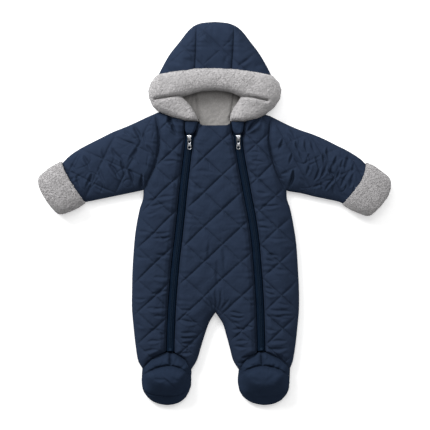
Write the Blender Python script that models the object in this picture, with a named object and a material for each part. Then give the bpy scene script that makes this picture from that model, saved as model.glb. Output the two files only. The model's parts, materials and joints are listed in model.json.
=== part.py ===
"""Baby's quilted snowsuit, laid flat on its back with the hood above the shoulders.

The suit lies on the plane z = 0 with its head towards +Y and its front facing +Z.
Lengths in the tables are millimetres. The meshes are metres.
Each cloth piece is a padded wall: a plan outline, an outer face that swells between
its seams and is drawn down along its quilting lines, and a plain inner face.
The wearer's left is at +X, and the names say _l and _r for the wearer's sides.
"""
import math

import bmesh
import bpy
import numpy as np
from mathutils.geometry import delaunay_2d_cdt

MM = 0.001

# Driving sizes, in millimetres
SEAM_GAP = 0.4          # between two pieces that are sewn to each other
BACK_THICK = 13.0       # back wall: shell, wadding and pile lining
SIDE_RISE = 9.0         # how far the back's outer face rises at the side seams
BACK_ROUND = 18.0       # plan width over which it rises
EDGE_THICK = 4.0        # a wall that is pressed flat in a side seam
HOLLOW = 3.4            # slack between the front and the back, laid on each other
BODY_TOP = 34.0         # height of the front over the surface, between quilting lines
BODY_ROUND = 46.0       # plan width of the rounding towards the side seams
QUILT_RISE = 4.5        # how far a quilted diamond stands over its stitch lines
QUILT_HALF = 15.0       # plan distance in which a diamond reaches its full height
SEAM_DIP = 6.0          # how far a wall is drawn down along an inner seam
SEAM_ROUND = 13.0
ZIP_HALF = 8.5          # half the width of a zip's visible tape
GARAGE_HALF = 12.0      # half the width of the cloth guard at the zip's top
GARAGE_FOOT = 159.0     # where that guard ends, along Y
HOOD_TOP = 42.0
HOOD_HOLLOW = 11.0      # slack inside the hood at its middle
LINING_THICK = 5.2
BRIM_TOP = 58.0
LIP_TOP = 42.0
TOE_TOP = 56.0
TOE_STEP = 12.0         # how far the sole is turned up in front of the toe cap
CUFF_TOP = 46.0
CUFF_DEPTH = 50.0       # from the cuff's seam to where its end starts to turn in
CUFF_ROLL = 10.0        # how far the rolled end stands past that
CUFF_WALL = 14.0
PLAN_STEP = 15.0        # spacing of mesh points over a quilted wall
PLAIN_STEP = 34.0       # spacing over a plain inner face

# The garment's edges in plan. Columns: x on the wearer's left, y, x on the right, y
SLEEVE_TOP = (
    (112, 195, -119, 201), (128, 187, -133, 195), (146, 178, -148, 188),
    (170, 168, -174, 176), (194, 160, -204, 164), (218, 150, -228, 152),
    (242, 138, -252, 140), (266, 126, -274, 128), (288, 112, -291, 116),
    (301, 100, -305, 102),
)
SLEEVE_FOOT = (
    (143, 47, -143, 48), (150, 45, -151, 46), (174, 41, -175, 41),
    (198, 35, -199, 36), (222, 30, -223, 31), (246, 25, -248, 26),
    (256, 21, -260, 24),
)
ARMHOLE = (
    (112, 195, -119, 201), (109, 170, -114, 176), (108, 146, -111, 152),
    (112, 118, -114, 118), (121, 90, -123, 88), (131, 66, -134, 64),
    (143, 47, -143, 48),
)
CUFF_SEAM = (
    (301, 100, -305, 102), (296, 80, -296, 82), (285, 59, -283, 60),
    (256, 21, -260, 24),
)
SIDE = (
    (143, 47, -143, 48), (144, 30, -144, 30), (151, 8, -151, 8),
    (158, -28, -158, -28), (163, -64, -162, -64), (166, -110, -165, -110),
    (168, -150, -166, -150), (168, -190, -166, -190), (165, -226, -163, -226),
    (161, -262, -159, -262), (156, -292, -154, -292), (150, -309, -145, -309),
)
INSEAM = (
    (1, -197, 1, -197), (8, -207, -6, -207), (16, -220, -13, -220),
    (22, -240, -20, -240), (29, -266, -28, -266), (36, -292, -36, -292),
    (48, -312, -48, -312),
)
NECK_SIDE = (
    (34, 183, -34, 183), (58, 184, -60, 186), (84, 190, -82, 192),
    (101, 199, -112, 204),
)
ZIP_LINE = (
    (45, 182.4, -47, 182.9), (46, 158, -50, 158), (49, 126, -54, 126),
    (63, 48, -63, 48), (77, -30, -71, -30), (84, -100, -79, -100),
    (89, -172, -85, -172), (91, -230, -88, -230), (92, -272, -89, -273),
)
# The foot: its rim from the outer ankle round the toe to the inner ankle
FOOT_RIM = (
    (150, -309, -145, -309), (148, -322, -146, -322), (149, -340, -146, -340),
    (146, -354, -143, -354), (138, -367, -134, -367), (122, -378, -118, -378),
    (100, -382, -96, -382), (76, -378, -74, -378), (57, -366, -58, -366),
    (48, -350, -50, -350), (46, -334, -48, -334), (48, -312, -48, -312),
)
# The toe cap's front edge, over the sole's turned-up end
CAP_EDGE = (
    (149, -336, -146, -336), (139, -352, -136, -352), (121, -359, -117, -359),
    (98, -362, -94, -362), (75, -359, -74, -359), (58, -349, -59, -349),
    (46, -332, -48, -332),
)
GUSSET_SEAM_OUT = (
    (92, -272, -89, -273), (114, -281, -112, -282), (130, -290, -126, -290),
    (150, -309, -145, -309),
)
GUSSET_SEAM_IN = (
    (92, -272, -89, -273), (78, -281, -75, -281), (62, -291, -60, -291),
    (48, -312, -48, -312),
)
TOE_SEAM = (
    (148, -322, -146, -322), (126, -308, -122, -308), (94, -301, -92, -301),
    (66, -308, -66, -308), (46, -323, -48, -323),
)
# The hood's edge from the crown's middle to the neck, and the brim's two edges
HOOD_EDGE = (
    (0, 382, 0, 382), (30, 381, -32, 381), (51, 369, -51, 369),
    (71, 344, -71, 344), (89, 320, -90, 320), (103, 296, -104, 296),
    (114, 274, -114, 276),
)
HOOD_SIDE_FOOT = (
    (114, 274, -114, 276), (117, 250, -118, 250), (111, 222, -117, 226),
    (101, 199, -112, 204),
)
BRIM_UPPER = (
    (0, 288, 0, 288), (40, 286, -40, 287), (80, 281, -80, 282),
    (114, 274, -114, 276),
)
BRIM_OUTER = (
    (114, 274, -114, 276), (127, 260, -127, 260), (131, 246, -132, 244),
    (129, 230, -130, 230), (118, 213, -123, 214), (101, 199, -112, 204),
)
BRIM_LOWER = (
    (0, 246, 0, 246), (24, 243, -26, 244), (42, 237, -48, 238),
    (51, 231, -66, 231),
)
LIP_INNER = (
    (51, 231, -66, 231), (38, 211, -47, 212), (27, 186, -33, 187),
)
CROWN_SEAM = ((33, 288, -40, 288), (36, 330, -38, 330), (38, 377, -37, 378))
LINING_SEAM = ((31, 188, -32, 189), (38, 240, -41, 243), (40, 264, -44, 264))
LIP_CREASE = ((51, 231, -66, 231), (104, 232, -114, 232))

# Quilting: for each piece, two families of parallel lines. Columns: the lines' angle in
# degrees, the signed distance of one of them from the origin, the distance between them
QUILTS = {
    "front_centre": ((43, 96.5, 50.3), (-43, 66.7, 50.3)),
    "front_side_l": ((43, -56.1, 50.8), (-43, 63.4, 46.2)),
    "front_side_r": ((43, 103.4, 47.1), (-43, -106.5, 47.1)),
    "sleeve_l": ((24, 19.9, 50.5), (-62, 192.7, 50.5)),
    "sleeve_r": ((64, 195.9, 50.5), (-24, 59.3, 50.5)),
    "hood": ((43, 229.8, 50.5), (-43, 248.0, 50.5)),
}

# The largest folds. Columns: x and y of each end, depth, half width
FOLDS = (
    (-95, 191, -80, 165, 5.0, 6.0), (66, 162, 95, 192, 6.0, 8.0),
    (-147, 76, -147, 52, 7.0, 5.0), (159, 86, 155, 57, 6.0, 5.0),
    (-160, 176, -148, 153, 5.0, 6.0), (-208, 104, -185, 68, 4.0, 6.0),
    (-259, 113, -250, 96, 4.0, 5.0), (-168, 88, -163, 62, 5.0, 6.0),
    (250, 128, 245, 93, 4.0, 5.0), (222, 106, 199, 60, 4.0, 6.0),
    (185, 141, 175, 118, 3.5, 5.0), (132, 153, 125, 136, 3.0, 5.0),
    (-5, -134, -5, -170, 3.0, 5.0), (6, -142, 8, -178, 3.0, 5.0),
    (17, -94, 17, -124, 2.5, 5.0), (-20, -160, -18, -190, 3.0, 5.0),
)

# Metal zip parts
SLIDER_HIGH = 3.6
SLIDER_Y = 151.0        # middle of the slider, along Y
BAIL_HALF, BAIL_HIGH, BAIL_WIRE = 3.6, 4.6, 1.3
PULL_LIFT = 1.5         # from the slider's face to the pull's hinge line
PULL_THICK = 1.5
PULL_EYE, PULL_EYE_HALF, PULL_BAR = 6.2, 1.45, 1.5
TEETH_HALF, TEETH_HIGH = 3.4, 1.8   # the closed row of teeth: half width and height
PULL_DROOP = 4.0        # degrees that the pull tab lies below level

COLOURS = {
    # name: (linear red, green, blue), roughness, metallic
    "navy_quilt": ((0.024, 0.034, 0.061), 0.62, 0.0),
    "navy_plain": ((0.014, 0.022, 0.042), 0.7, 0.0),
    "zip_navy": ((0.007, 0.011, 0.021), 0.6, 0.0),
    "sherpa_grey": ((0.375, 0.36, 0.365), 0.95, 0.0),
    "lining_grey": ((0.25, 0.24, 0.235), 0.95, 0.0),
    "zip_metal": ((0.6, 0.61, 0.63), 0.3, 1.0),
}


def clear_scene():
    for old in list(bpy.data.objects):
        bpy.data.objects.remove(old, do_unlink=True)


def material(name):
    """The named finish, made once."""
    if name in bpy.data.materials:
        return bpy.data.materials[name]
    colour, rough, metal = COLOURS[name]
    made = bpy.data.materials.new(name)
    made.use_nodes = True
    shader = made.node_tree.nodes["Principled BSDF"]
    shader.inputs["Base Color"].default_value = (*colour, 1.0)
    shader.inputs["Roughness"].default_value = rough
    shader.inputs["Metallic"].default_value = metal
    return made


def add_object(name, points_mm, faces, finish, smooth_angle=50.0):
    """An object from points in millimetres, shaded smooth but at its sharp edges."""
    mesh = bpy.data.meshes.new(name)
    mesh.from_pydata([tuple(p) for p in np.asarray(points_mm) * MM], [], faces)
    mesh.validate()
    mesh.materials.append(material(finish))
    mesh.shade_smooth()
    mesh.set_sharp_from_angle(angle=math.radians(smooth_angle))
    made = bpy.data.objects.new(name, mesh)
    bpy.context.scene.collection.objects.link(made)
    return made


# ---------------------------------------------------------------- plan geometry

def ramp(value):
    """0 to 1, level at both ends."""
    t = np.clip(value, 0.0, 1.0)
    return t * t * (3.0 - 2.0 * t)


def dome(value):
    """A quarter of an ellipse: steep at 0, level at 1."""
    t = np.clip(value, 0.0, 1.0)
    return np.sqrt(1.0 - (1.0 - t) ** 2)


def curve(points, step=12.0):
    """A Catmull-Rom curve through the points, with a point about every step."""
    pts = np.asarray(points, float)
    ends = np.vstack([2 * pts[0] - pts[1], pts, 2 * pts[-1] - pts[-2]])
    out = []
    for i in range(len(pts) - 1):
        a, b, c, d = ends[i:i + 4]
        count = max(1, round(float(np.linalg.norm(c - b)) / step))
        t = (np.arange(count) / count)[:, None]
        out.append(0.5 * (2 * b + (c - a) * t + (2 * a - 5 * b + 4 * c - d) * t**2
                          + (3 * b - a - 3 * c + d) * t**3))
    return np.vstack([*out, pts[-1:]])


def both(table, step=12.0):
    """The table's curve on the wearer's left and on the right."""
    rows = np.asarray(table, float)
    return {"l": curve(rows[:, :2], step), "r": curve(rows[:, 2:], step)}


def to_line(points, chain):
    """Each point's plan distance to a chain of straight runs."""
    best = np.full(len(points), np.inf)
    for a, b in zip(chain[:-1], chain[1:]):
        run = b - a
        t = np.clip(((points - a) @ run) / max(run @ run, 1e-9), 0, 1)
        best = np.minimum(best, np.linalg.norm(points - a - t[:, None] * run, axis=1))
    return best


def to_lines(points, chains):
    return np.min([to_line(points, chain) for chain in chains], axis=0)


def beside(chain, offset):
    """The chain moved sideways, to its right-hand side as it runs where positive."""
    run = np.gradient(chain, axis=0)
    run /= np.linalg.norm(run, axis=1)[:, None]
    side = np.column_stack([run[:, 1], -run[:, 0]])
    return chain + side * np.reshape(offset, (-1, 1))


def signed_area(ring):
    x, y = ring[:, 0], ring[:, 1]
    return 0.5 * float(np.sum(x * np.roll(y, -1) - np.roll(x, -1) * y))


def ring_of(*chains):
    """One anticlockwise outline from chains given in order, without double points."""
    points = np.vstack(chains)
    keep = [i for i in range(len(points))
            if np.linalg.norm(points[i] - points[i - 1]) > 0.5]
    ring = points[keep]
    return ring if signed_area(ring) > 0 else ring[::-1]


def shrink(ring, distance):
    """The outline moved inwards by a distance, corner by corner."""
    back, ahead = ring - np.roll(ring, 1, axis=0), np.roll(ring, -1, axis=0) - ring
    n1 = np.column_stack([-back[:, 1], back[:, 0]])
    n2 = np.column_stack([-ahead[:, 1], ahead[:, 0]])
    n1 /= np.linalg.norm(n1, axis=1)[:, None]
    n2 /= np.linalg.norm(n2, axis=1)[:, None]
    spread = np.maximum(1.0 + np.sum(n1 * n2, axis=1), 0.35)[:, None]
    return ring + (n1 + n2) / spread * distance


def inside(points, ring):
    """Which points lie inside the outline, by counting crossings."""
    x, y = points[:, 0:1], points[:, 1:2]
    x0, y0 = ring[:, 0], ring[:, 1]
    x1, y1 = np.roll(x0, -1), np.roll(y0, -1)
    rise = np.where(np.abs(y1 - y0) < 1e-12, 1e-12, y1 - y0)
    cuts = ((y0 > y) != (y1 > y)) & (x < x0 + (y - y0) * (x1 - x0) / rise)
    return np.sum(cuts, axis=1) % 2 == 1


def line_normal(angle):
    """The unit vector across a plan line at an angle, in degrees."""
    turn = math.radians(angle)
    return np.array([-math.sin(turn), math.cos(turn)])


def quilt_lines(ring, quilt):
    """The stitch lines that cross an outline, each as its normal and distance."""
    lines = []
    for angle, first, pitch in quilt:
        normal = line_normal(angle)
        away = ring @ normal
        low = math.ceil((away.min() - first) / pitch)
        high = math.floor((away.max() - first) / pitch)
        lines += [(normal, first + k * pitch) for k in range(low, high + 1)]
    return lines


def quilt_height(points, quilt):
    """0 on a stitch line, 1 in the middle of a diamond."""
    high = np.ones(len(points))
    for angle, first, pitch in quilt:
        steps = (points @ line_normal(angle) - first) / pitch
        away = np.abs(steps - np.round(steps)) * pitch
        high = np.minimum(high, ramp(away / QUILT_HALF) ** 0.7)
    return high


def line_runs(ring, lines, step, least):
    """Points and edges along each stitch line inside the outline."""
    points, edges = [], []
    for normal, distance in lines:
        f = ring @ normal - distance
        ahead = np.roll(f, -1)
        after = np.roll(ring, -1, axis=0)
        cut = np.nonzero(f * ahead < 0)[0]
        hits = [ring[i] + (after[i] - ring[i]) * f[i] / (f[i] - ahead[i]) for i in cut]
        hits.sort(key=lambda p: p[0] * normal[1] - p[1] * normal[0])
        for a, b in zip(hits[::2], hits[1::2]):
            length = float(np.linalg.norm(b - a))
            if length < 2 * least:
                continue
            count = max(int(length / step), 2)
            run = a + (b - a) * np.linspace(0, 1, count + 1)[1:-1, None]
            edges += [(len(points) + k, len(points) + k + 1) for k in range(len(run) - 1)]
            points += list(run)
    return points, edges


def fold_runs(ring):
    """The folds' centre lines, as far as they lie inside an outline."""
    loop = np.vstack([ring, ring[:1]])
    chains = []
    for x0, y0, x1, y1, _, _ in FOLDS:
        run = np.linspace((x0, y0), (x1, y1), 5)
        run = run[inside(run, ring)]
        run = run[to_line(run, loop) > 4.0] if len(run) else run
        if len(run) > 1:
            chains.append(run)
    return chains


def fold_dip(points):
    """How far the folds press the cloth in."""
    dip = np.zeros(len(points))
    for x0, y0, x1, y1, depth, half in FOLDS:
        away = to_line(points, np.array([(x0, y0), (x1, y1)], float))
        dip = np.maximum(dip, depth * (1.0 - ramp(away / half)))
    return dip


def plan_mesh(ring, step, bands, lines, chains=()):
    """Triangles over an outline: rim points first, then lines, chains, bands, lattice."""
    spacing = 0.45 * step
    along, line_edges = line_runs(ring, lines, step, spacing)
    fixed = list(ring) + along
    offset = len(ring)
    edges = [(i, (i + 1) % offset) for i in range(offset)]
    edges += [(offset + a, offset + b) for a, b in line_edges]
    for chain in chains:
        edges += [(len(fixed) + k, len(fixed) + k + 1) for k in range(len(chain) - 1)]
        fixed += list(chain)
    inner = []
    for band in bands:
        inner.append(shrink(ring, band))
    low, high = ring.min(axis=0), ring.max(axis=0)
    rows = np.arange(low[1], high[1], step * 0.866)
    for k, y in enumerate(rows):
        x = np.arange(low[0] + (k % 2) * step / 2, high[0], step)
        if len(x):
            inner.append(np.column_stack([x, np.full(len(x), y)]))
    loop = np.vstack([ring, ring[:1]])
    taken = np.array(fixed)
    for i, group in enumerate(inner):
        clear = 0.7 * bands[i] if i < len(bands) else spacing
        group = group[inside(group, ring)]
        group = group[to_line(group, loop) > clear] if len(group) else group
        for point in group:
            if np.min(np.linalg.norm(taken - point, axis=1)) > spacing:
                taken = np.vstack([taken, point])
    points, _, faces, origin, _, owners = delaunay_2d_cdt(
        [tuple(p) for p in taken], edges, [list(range(offset))], 0, 1e-3, True)
    points = np.array([[p[0], p[1]] for p in points])
    faces = [list(f) for f, owner in zip(faces, owners) if owner]
    place = [0] * len(ring)
    for new, olds in enumerate(origin):
        for old in olds:
            if old < len(ring):
                place[old] = new
    return points, faces, place


def facing_up(points, faces):
    """The triangles turned anticlockwise as seen from above."""
    out = []
    for face in faces:
        a, b, c = (points[i] for i in face)
        turn = (b[0] - a[0]) * (c[1] - a[1]) - (b[1] - a[1]) * (c[0] - a[0])
        out.append(face if turn > 0 else face[::-1])
    return out


def wall(name, ring, top, bottom, finish, quilt=None, step=PLAN_STEP, bands=(6.0, 16.0),
         chains=()):
    """A padded wall of cloth over an outline, between two height functions."""
    ring = shrink(ring, SEAM_GAP / 2)
    lines = quilt_lines(ring, quilt) if quilt else []
    chains = list(chains) + (fold_runs(ring) if quilt else [])
    up, up_faces, up_rim = plan_mesh(ring, step, bands, lines, chains)
    down, down_faces, down_rim = plan_mesh(ring, PLAIN_STEP, bands, [])
    top_z = top(up)
    if quilt:
        edge = np.vstack([ring, ring[:1]])
        rise = quilt_height(up, quilt) * ramp(to_line(up, edge) / SEAM_ROUND)
        top_z = top_z + QUILT_RISE * rise
    points = np.vstack([np.column_stack([up, top_z]),
                        np.column_stack([down, bottom(down)])])
    faces = facing_up(up, up_faces)
    faces += [[i + len(up) for i in f[::-1]] for f in facing_up(down, down_faces)]
    count = len(ring)
    for i in range(count):
        j = (i + 1) % count
        a, b = up_rim[i], up_rim[j]
        c, d = down_rim[i] + len(up), down_rim[j] + len(up)
        faces += [[a, c, d], [a, d, b]]
    return add_object(name, points, faces, finish)


# -------------------------------------------------- the garment's lines and heights

EDGES = {
    "sleeve_top": both(SLEEVE_TOP), "sleeve_foot": both(SLEEVE_FOOT),
    "armhole": both(ARMHOLE), "cuff_seam": both(CUFF_SEAM), "side": both(SIDE),
    "inseam": both(INSEAM, 9.0), "neck": both(NECK_SIDE), "zip": both(ZIP_LINE, 14.0),
    "foot_rim": both(FOOT_RIM, 9.0), "toe_seam": both(TOE_SEAM, 9.0),
    "cap_edge": both(CAP_EDGE, 9.0), "gusset_out": both(GUSSET_SEAM_OUT, 9.0),
    "gusset_in": both(GUSSET_SEAM_IN, 9.0),
    "hood": both(HOOD_EDGE), "hood_side": both(HOOD_SIDE_FOOT),
    "brim_upper": both(BRIM_UPPER), "brim_outer": both(BRIM_OUTER, 8.0),
    "brim_lower": both(BRIM_LOWER, 10.0), "lip_inner": both(LIP_INNER, 9.0),
    "crown": both(CROWN_SEAM), "lining": both(LINING_SEAM), "crease": both(LIP_CREASE),
}
SIGN = {"l": 1.0, "r": -1.0}


def zip_edges(side):
    """The inner and the outer edge of the zip's strip, flared round its guard."""
    line = EDGES["zip"][side]
    half = ZIP_HALF + (GARAGE_HALF - ZIP_HALF) * ramp((line[:, 1] - 150.0) / 10.0)
    inner = beside(line, half * SIGN[side])
    outer = beside(line, -half * SIGN[side])
    return inner, outer


def shoulder_piece(side):
    """The short shoulder edge from the neck to the armhole."""
    return np.vstack([EDGES["neck"][side][-1:], EDGES["armhole"][side][:1]])


def body_edges():
    """Every free edge of the body, where the front and the back are sewn together."""
    chains = []
    for side in "lr":
        neck_end, arm_top = shoulder_piece(side)
        beyond = neck_end + (neck_end - arm_top) * 3.0
        chains.append(np.vstack([beyond, shoulder_piece(side), EDGES["sleeve_top"][side]]))
        for key in ("sleeve_foot", "side", "inseam"):
            chains.append(EDGES[key][side])
    return chains


BODY_EDGES = body_edges()
SEAMS = [chain for side in "lr"
         for chain in (*zip_edges(side), EDGES["armhole"][side])]


def body_top(points):
    """The front's outer face, before its quilting."""
    edge = BACK_THICK + EDGE_THICK + SEAM_GAP
    swell = dome(to_lines(points, BODY_EDGES) / BODY_ROUND)
    sleeve = ramp((np.abs(points[:, 0]) - 120.0) / 160.0)
    high = BODY_TOP - 3.0 * sleeve
    dip = SEAM_DIP * (1.0 - ramp(to_lines(points, SEAMS) / SEAM_ROUND))
    return edge + (high - edge) * swell - np.maximum(dip, fold_dip(points)) * swell


def front_inner(points):
    """The front's inner face: on the back at the side seams, slack in the middle."""
    slack = ramp(to_lines(points, BODY_EDGES) / 40.0)
    return BACK_THICK + SEAM_GAP + HOLLOW * slack


def back_under(chains):
    """The underside: flat on the surface, rising to the seams round its edge."""
    return lambda points: SIDE_RISE * (1.0 - dome(to_lines(points, chains) / BACK_ROUND))


def back_inner(points):
    return np.full(len(points), BACK_THICK)


# ------------------------------------------------------------------ body and legs

def make_front_centre():
    """The panel between the zips, from the neck to both inner legs."""
    inner_l, inner_r = zip_edges("l")[0], zip_edges("r")[0]
    neck = np.array([(-28, 178.5), (27, 178.5)])
    legs = [EDGES["inseam"][side] for side in "lr"]
    gusset = [EDGES["gusset_in"][side][1:] for side in "lr"]
    ring = ring_of(neck, inner_l, gusset[0], legs[0][::-1][1:], legs[1][1:],
                   gusset[1][::-1][1:], inner_r[::-1])
    wall("front_centre", ring, body_top, front_inner, "navy_quilt",
         quilt=QUILTS["front_centre"])


def make_front_side(side):
    """The panel from a zip to the armhole, the side seam and the outer ankle."""
    outer = zip_edges(side)[1]
    neck = EDGES["neck"][side]
    start = neck[np.argmin(np.abs(neck[:, 0] - outer[0, 0]))]
    neck = neck[np.abs(neck[:, 0]) > abs(start[0])]
    ring = ring_of(outer[:1], neck, EDGES["armhole"][side], EDGES["side"][side][1:],
                   EDGES["gusset_out"][side][::-1][1:-1], outer[::-1])
    name = f"front_side_{side}"
    wall(name, ring, body_top, front_inner, "navy_quilt", quilt=QUILTS[name])


def make_back():
    """The whole back, flat on the surface, from the neck to the ankles."""
    left, right = EDGES["side"]["l"], EDGES["side"]["r"]
    ring = ring_of(EDGES["neck"]["r"][-1:], EDGES["neck"]["l"][-1:],
                   EDGES["armhole"]["l"], left[1:],
                   EDGES["inseam"]["l"][::-1], EDGES["inseam"]["r"][1:],
                   right[::-1], EDGES["armhole"]["r"][::-1])
    chains = [EDGES[key][side] for side in "lr" for key in ("side", "inseam")]
    chains += [shoulder_piece(side) for side in "lr"]
    wall("back_panel", ring, back_inner, back_under(chains), "navy_quilt",
         step=PLAIN_STEP)


# ------------------------------------------------------------------------ sleeves

def fold_tube(name, rims, folds, heights, finish):
    """A flat tube of padded cloth: two quilted faces joined along two folded edges.

    rims are the two open ends and folds the two folded edges, all in plan. heights
    are the outer face's and the underside's height functions and the wall between
    the outer face and the slit inside.
    """
    top, under, slit_low, slit_high, inset = heights
    outer = shrink(ring_of(folds[0], rims[1][1:-1], folds[1][::-1], rims[0][::-1][1:-1]),
                   SEAM_GAP / 2)
    to_fold = np.min([to_line(outer, chain) for chain in folds], axis=0)
    is_fold = to_fold < SEAM_GAP
    inner = shrink(outer, inset)
    inner[~is_fold] = outer[~is_fold]
    corner = is_fold & (~np.roll(is_fold, 1) | ~np.roll(is_fold, -1))
    for i in np.nonzero(corner)[0]:
        free = (i - 1) % len(outer) if not is_fold[i - 1] else (i + 1) % len(outer)
        run = outer[free] - outer[i]
        inner[i] = outer[i] + run / np.linalg.norm(run) * inset * 0.6
    quilt = QUILTS[name]
    lines = quilt_lines(outer, quilt)
    sheets = [plan_mesh(outer, PLAN_STEP, (5.0, 13.0), lines, fold_runs(outer)),
              plan_mesh(outer, PLAIN_STEP, (5.0, 13.0), []),
              plan_mesh(inner, PLAIN_STEP, (), []),
              plan_mesh(inner, PLAIN_STEP, (), [])]
    edge = np.vstack([outer, outer[:1]])
    rise = quilt_height(sheets[0][0], quilt) * ramp(to_line(sheets[0][0], edge) / SEAM_ROUND)
    top_z = top(sheets[0][0]) + QUILT_RISE * rise
    zs = [top_z, under(sheets[1][0]), np.full(len(sheets[2][0]), slit_high),
          np.full(len(sheets[3][0]), slit_low)]
    points, faces, rim = [], [], []
    for k, (flat, tris, place) in enumerate(sheets):
        start = sum(len(p) for p in points)
        points.append(np.column_stack([flat, zs[k]]))
        for face in facing_up(flat, tris):
            turned = face if k in (0, 3) else face[::-1]
            faces.append([i + start for i in turned])
        rim.append([i + start for i in place])
    count = len(outer)
    for i in range(count):
        j = (i + 1) % count
        joins = []
        if is_fold[i] and is_fold[j]:
            joins = [(rim[0], rim[1]), (rim[3], rim[2])]
        else:
            joins = [(rim[0], rim[2]), (rim[3], rim[1])]
        for upper, lower in joins:
            faces += [[upper[i], lower[i], lower[j]], [upper[i], lower[j], upper[j]]]
    for i in np.nonzero(corner)[0]:
        ring = [rim[0][i], rim[2][i], rim[3][i], rim[1][i]]
        if is_fold[(i + 1) % count] and is_fold[i - 1]:
            continue
        if not is_fold[(i + 1) % count]:
            ring = ring[::-1]
        faces += [[ring[0], ring[1], ring[2]], [ring[0], ring[2], ring[3]]]
    add_object(name, np.vstack(points), faces, finish)


def make_sleeve(side):
    """A set-in sleeve, one piece round the arm, laid flat."""
    folds = [EDGES["sleeve_top"][side], EDGES["sleeve_foot"][side]]
    rims = [EDGES["armhole"][side], EDGES["cuff_seam"][side]]
    slit = BACK_THICK, BACK_THICK + HOLLOW
    fold_tube(f"sleeve_{side}", rims, folds,
              (body_top, back_under(folds), *slit, 9.0), "navy_quilt")


# -------------------------------------------------------------------------- cuffs

def make_cuff(side):
    """A deep pile cuff turned back over the sleeve's end, its mouth pressed flat."""
    seam = EDGES["cuff_seam"][side]
    head, foot = seam[0], seam[-1]
    middle = (head + foot) / 2
    across = (head - foot) / np.linalg.norm(head - foot)
    outward = np.array([across[1], -across[0]])
    outward *= math.copysign(1.0, outward[0] * middle[0])
    half = np.linalg.norm(head - foot) / 2 + 1.5
    turns, roll_steps = 32, 6
    bow = 5.0
    mid_z = CUFF_TOP / 2
    slit = 1.7
    # Columns: distance from the seam, share of the way from the outer to the inner face
    profile = [(0.0, 0.0), (14.0, -0.12), (30.0, -0.14), (CUFF_DEPTH, 0.0)]
    for k in range(1, roll_steps):
        t = math.pi * k / roll_steps
        profile.append((CUFF_DEPTH + CUFF_ROLL * math.sin(t), (1 - math.cos(t)) / 2))
    profile += [(CUFF_DEPTH, 1.0), (24.0, 1.0), (0.0, 1.0)]
    points, faces = [], []
    for along, share in profile:
        wide = half - (CUFF_WALL + 1.0) * share - 2.5 * ramp(along / 60.0)
        high = mid_z + (slit - mid_z) * share
        for k in range(turns):
            a = 2 * math.pi * (k + 0.5) / turns
            c, s = math.cos(a), math.sin(a)
            u = math.copysign(abs(c) ** 0.75, c) * wide
            z = mid_z + math.copysign(abs(s) ** 0.8, s) * high
            z = max(z, 0.0)
            reach = SEAM_GAP + along - bow * (u / half) ** 2 * (along / CUFF_DEPTH)
            bend = seam_bow(seam, middle, across, outward, u)
            plan = middle + across * u + outward * (reach + bend)
            points.append((plan[0], plan[1], z))
    rows = len(profile)
    for j in range(rows):
        for k in range(turns):
            a, b = j * turns + k, j * turns + (k + 1) % turns
            c, d = ((j + 1) % rows) * turns + (k + 1) % turns, ((j + 1) % rows) * turns + k
            faces.append([a, b, c, d])
    made = add_object(f"cuff_{side}", points, faces, "sherpa_grey")
    set_outward(made)


def seam_bow(seam, middle, across, outward, u):
    """How far the sleeve's end bows outward at a place along the cuff's seam."""
    along = (seam - middle) @ across
    out = (seam - middle) @ outward
    order = np.argsort(along)
    return float(np.interp(u, along[order], out[order])) + 0.3


def set_outward(made):
    """Turn every face of a closed mesh outward."""
    mesh = bmesh.new()
    mesh.from_mesh(made.data)
    bmesh.ops.recalc_face_normals(mesh, faces=mesh.faces)
    mesh.to_mesh(made.data)
    mesh.free()


# --------------------------------------------------------------------------- feet

def foot_top(side):
    """The leg's height at the ankle, swelling to the round toe cap."""
    rim = [EDGES["foot_rim"][side], EDGES["cap_edge"][side]]

    def height(points):
        leg = body_top(points)
        swell = dome(to_lines(points, rim) / 34.0)
        turn_up = (TOE_STEP - EDGE_THICK) * ramp((-334.0 - points[:, 1]) / 22.0)
        edge = BACK_THICK + EDGE_THICK + SEAM_GAP + turn_up
        toe = edge + (TOE_TOP - edge) * swell
        dip = 5.0 * (1 - ramp(to_line(points, EDGES["toe_seam"][side]) / 10.0)) * swell
        return leg + (toe - leg) * ramp((-284.0 - points[:, 1]) / 42.0) - dip
    return height


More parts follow.
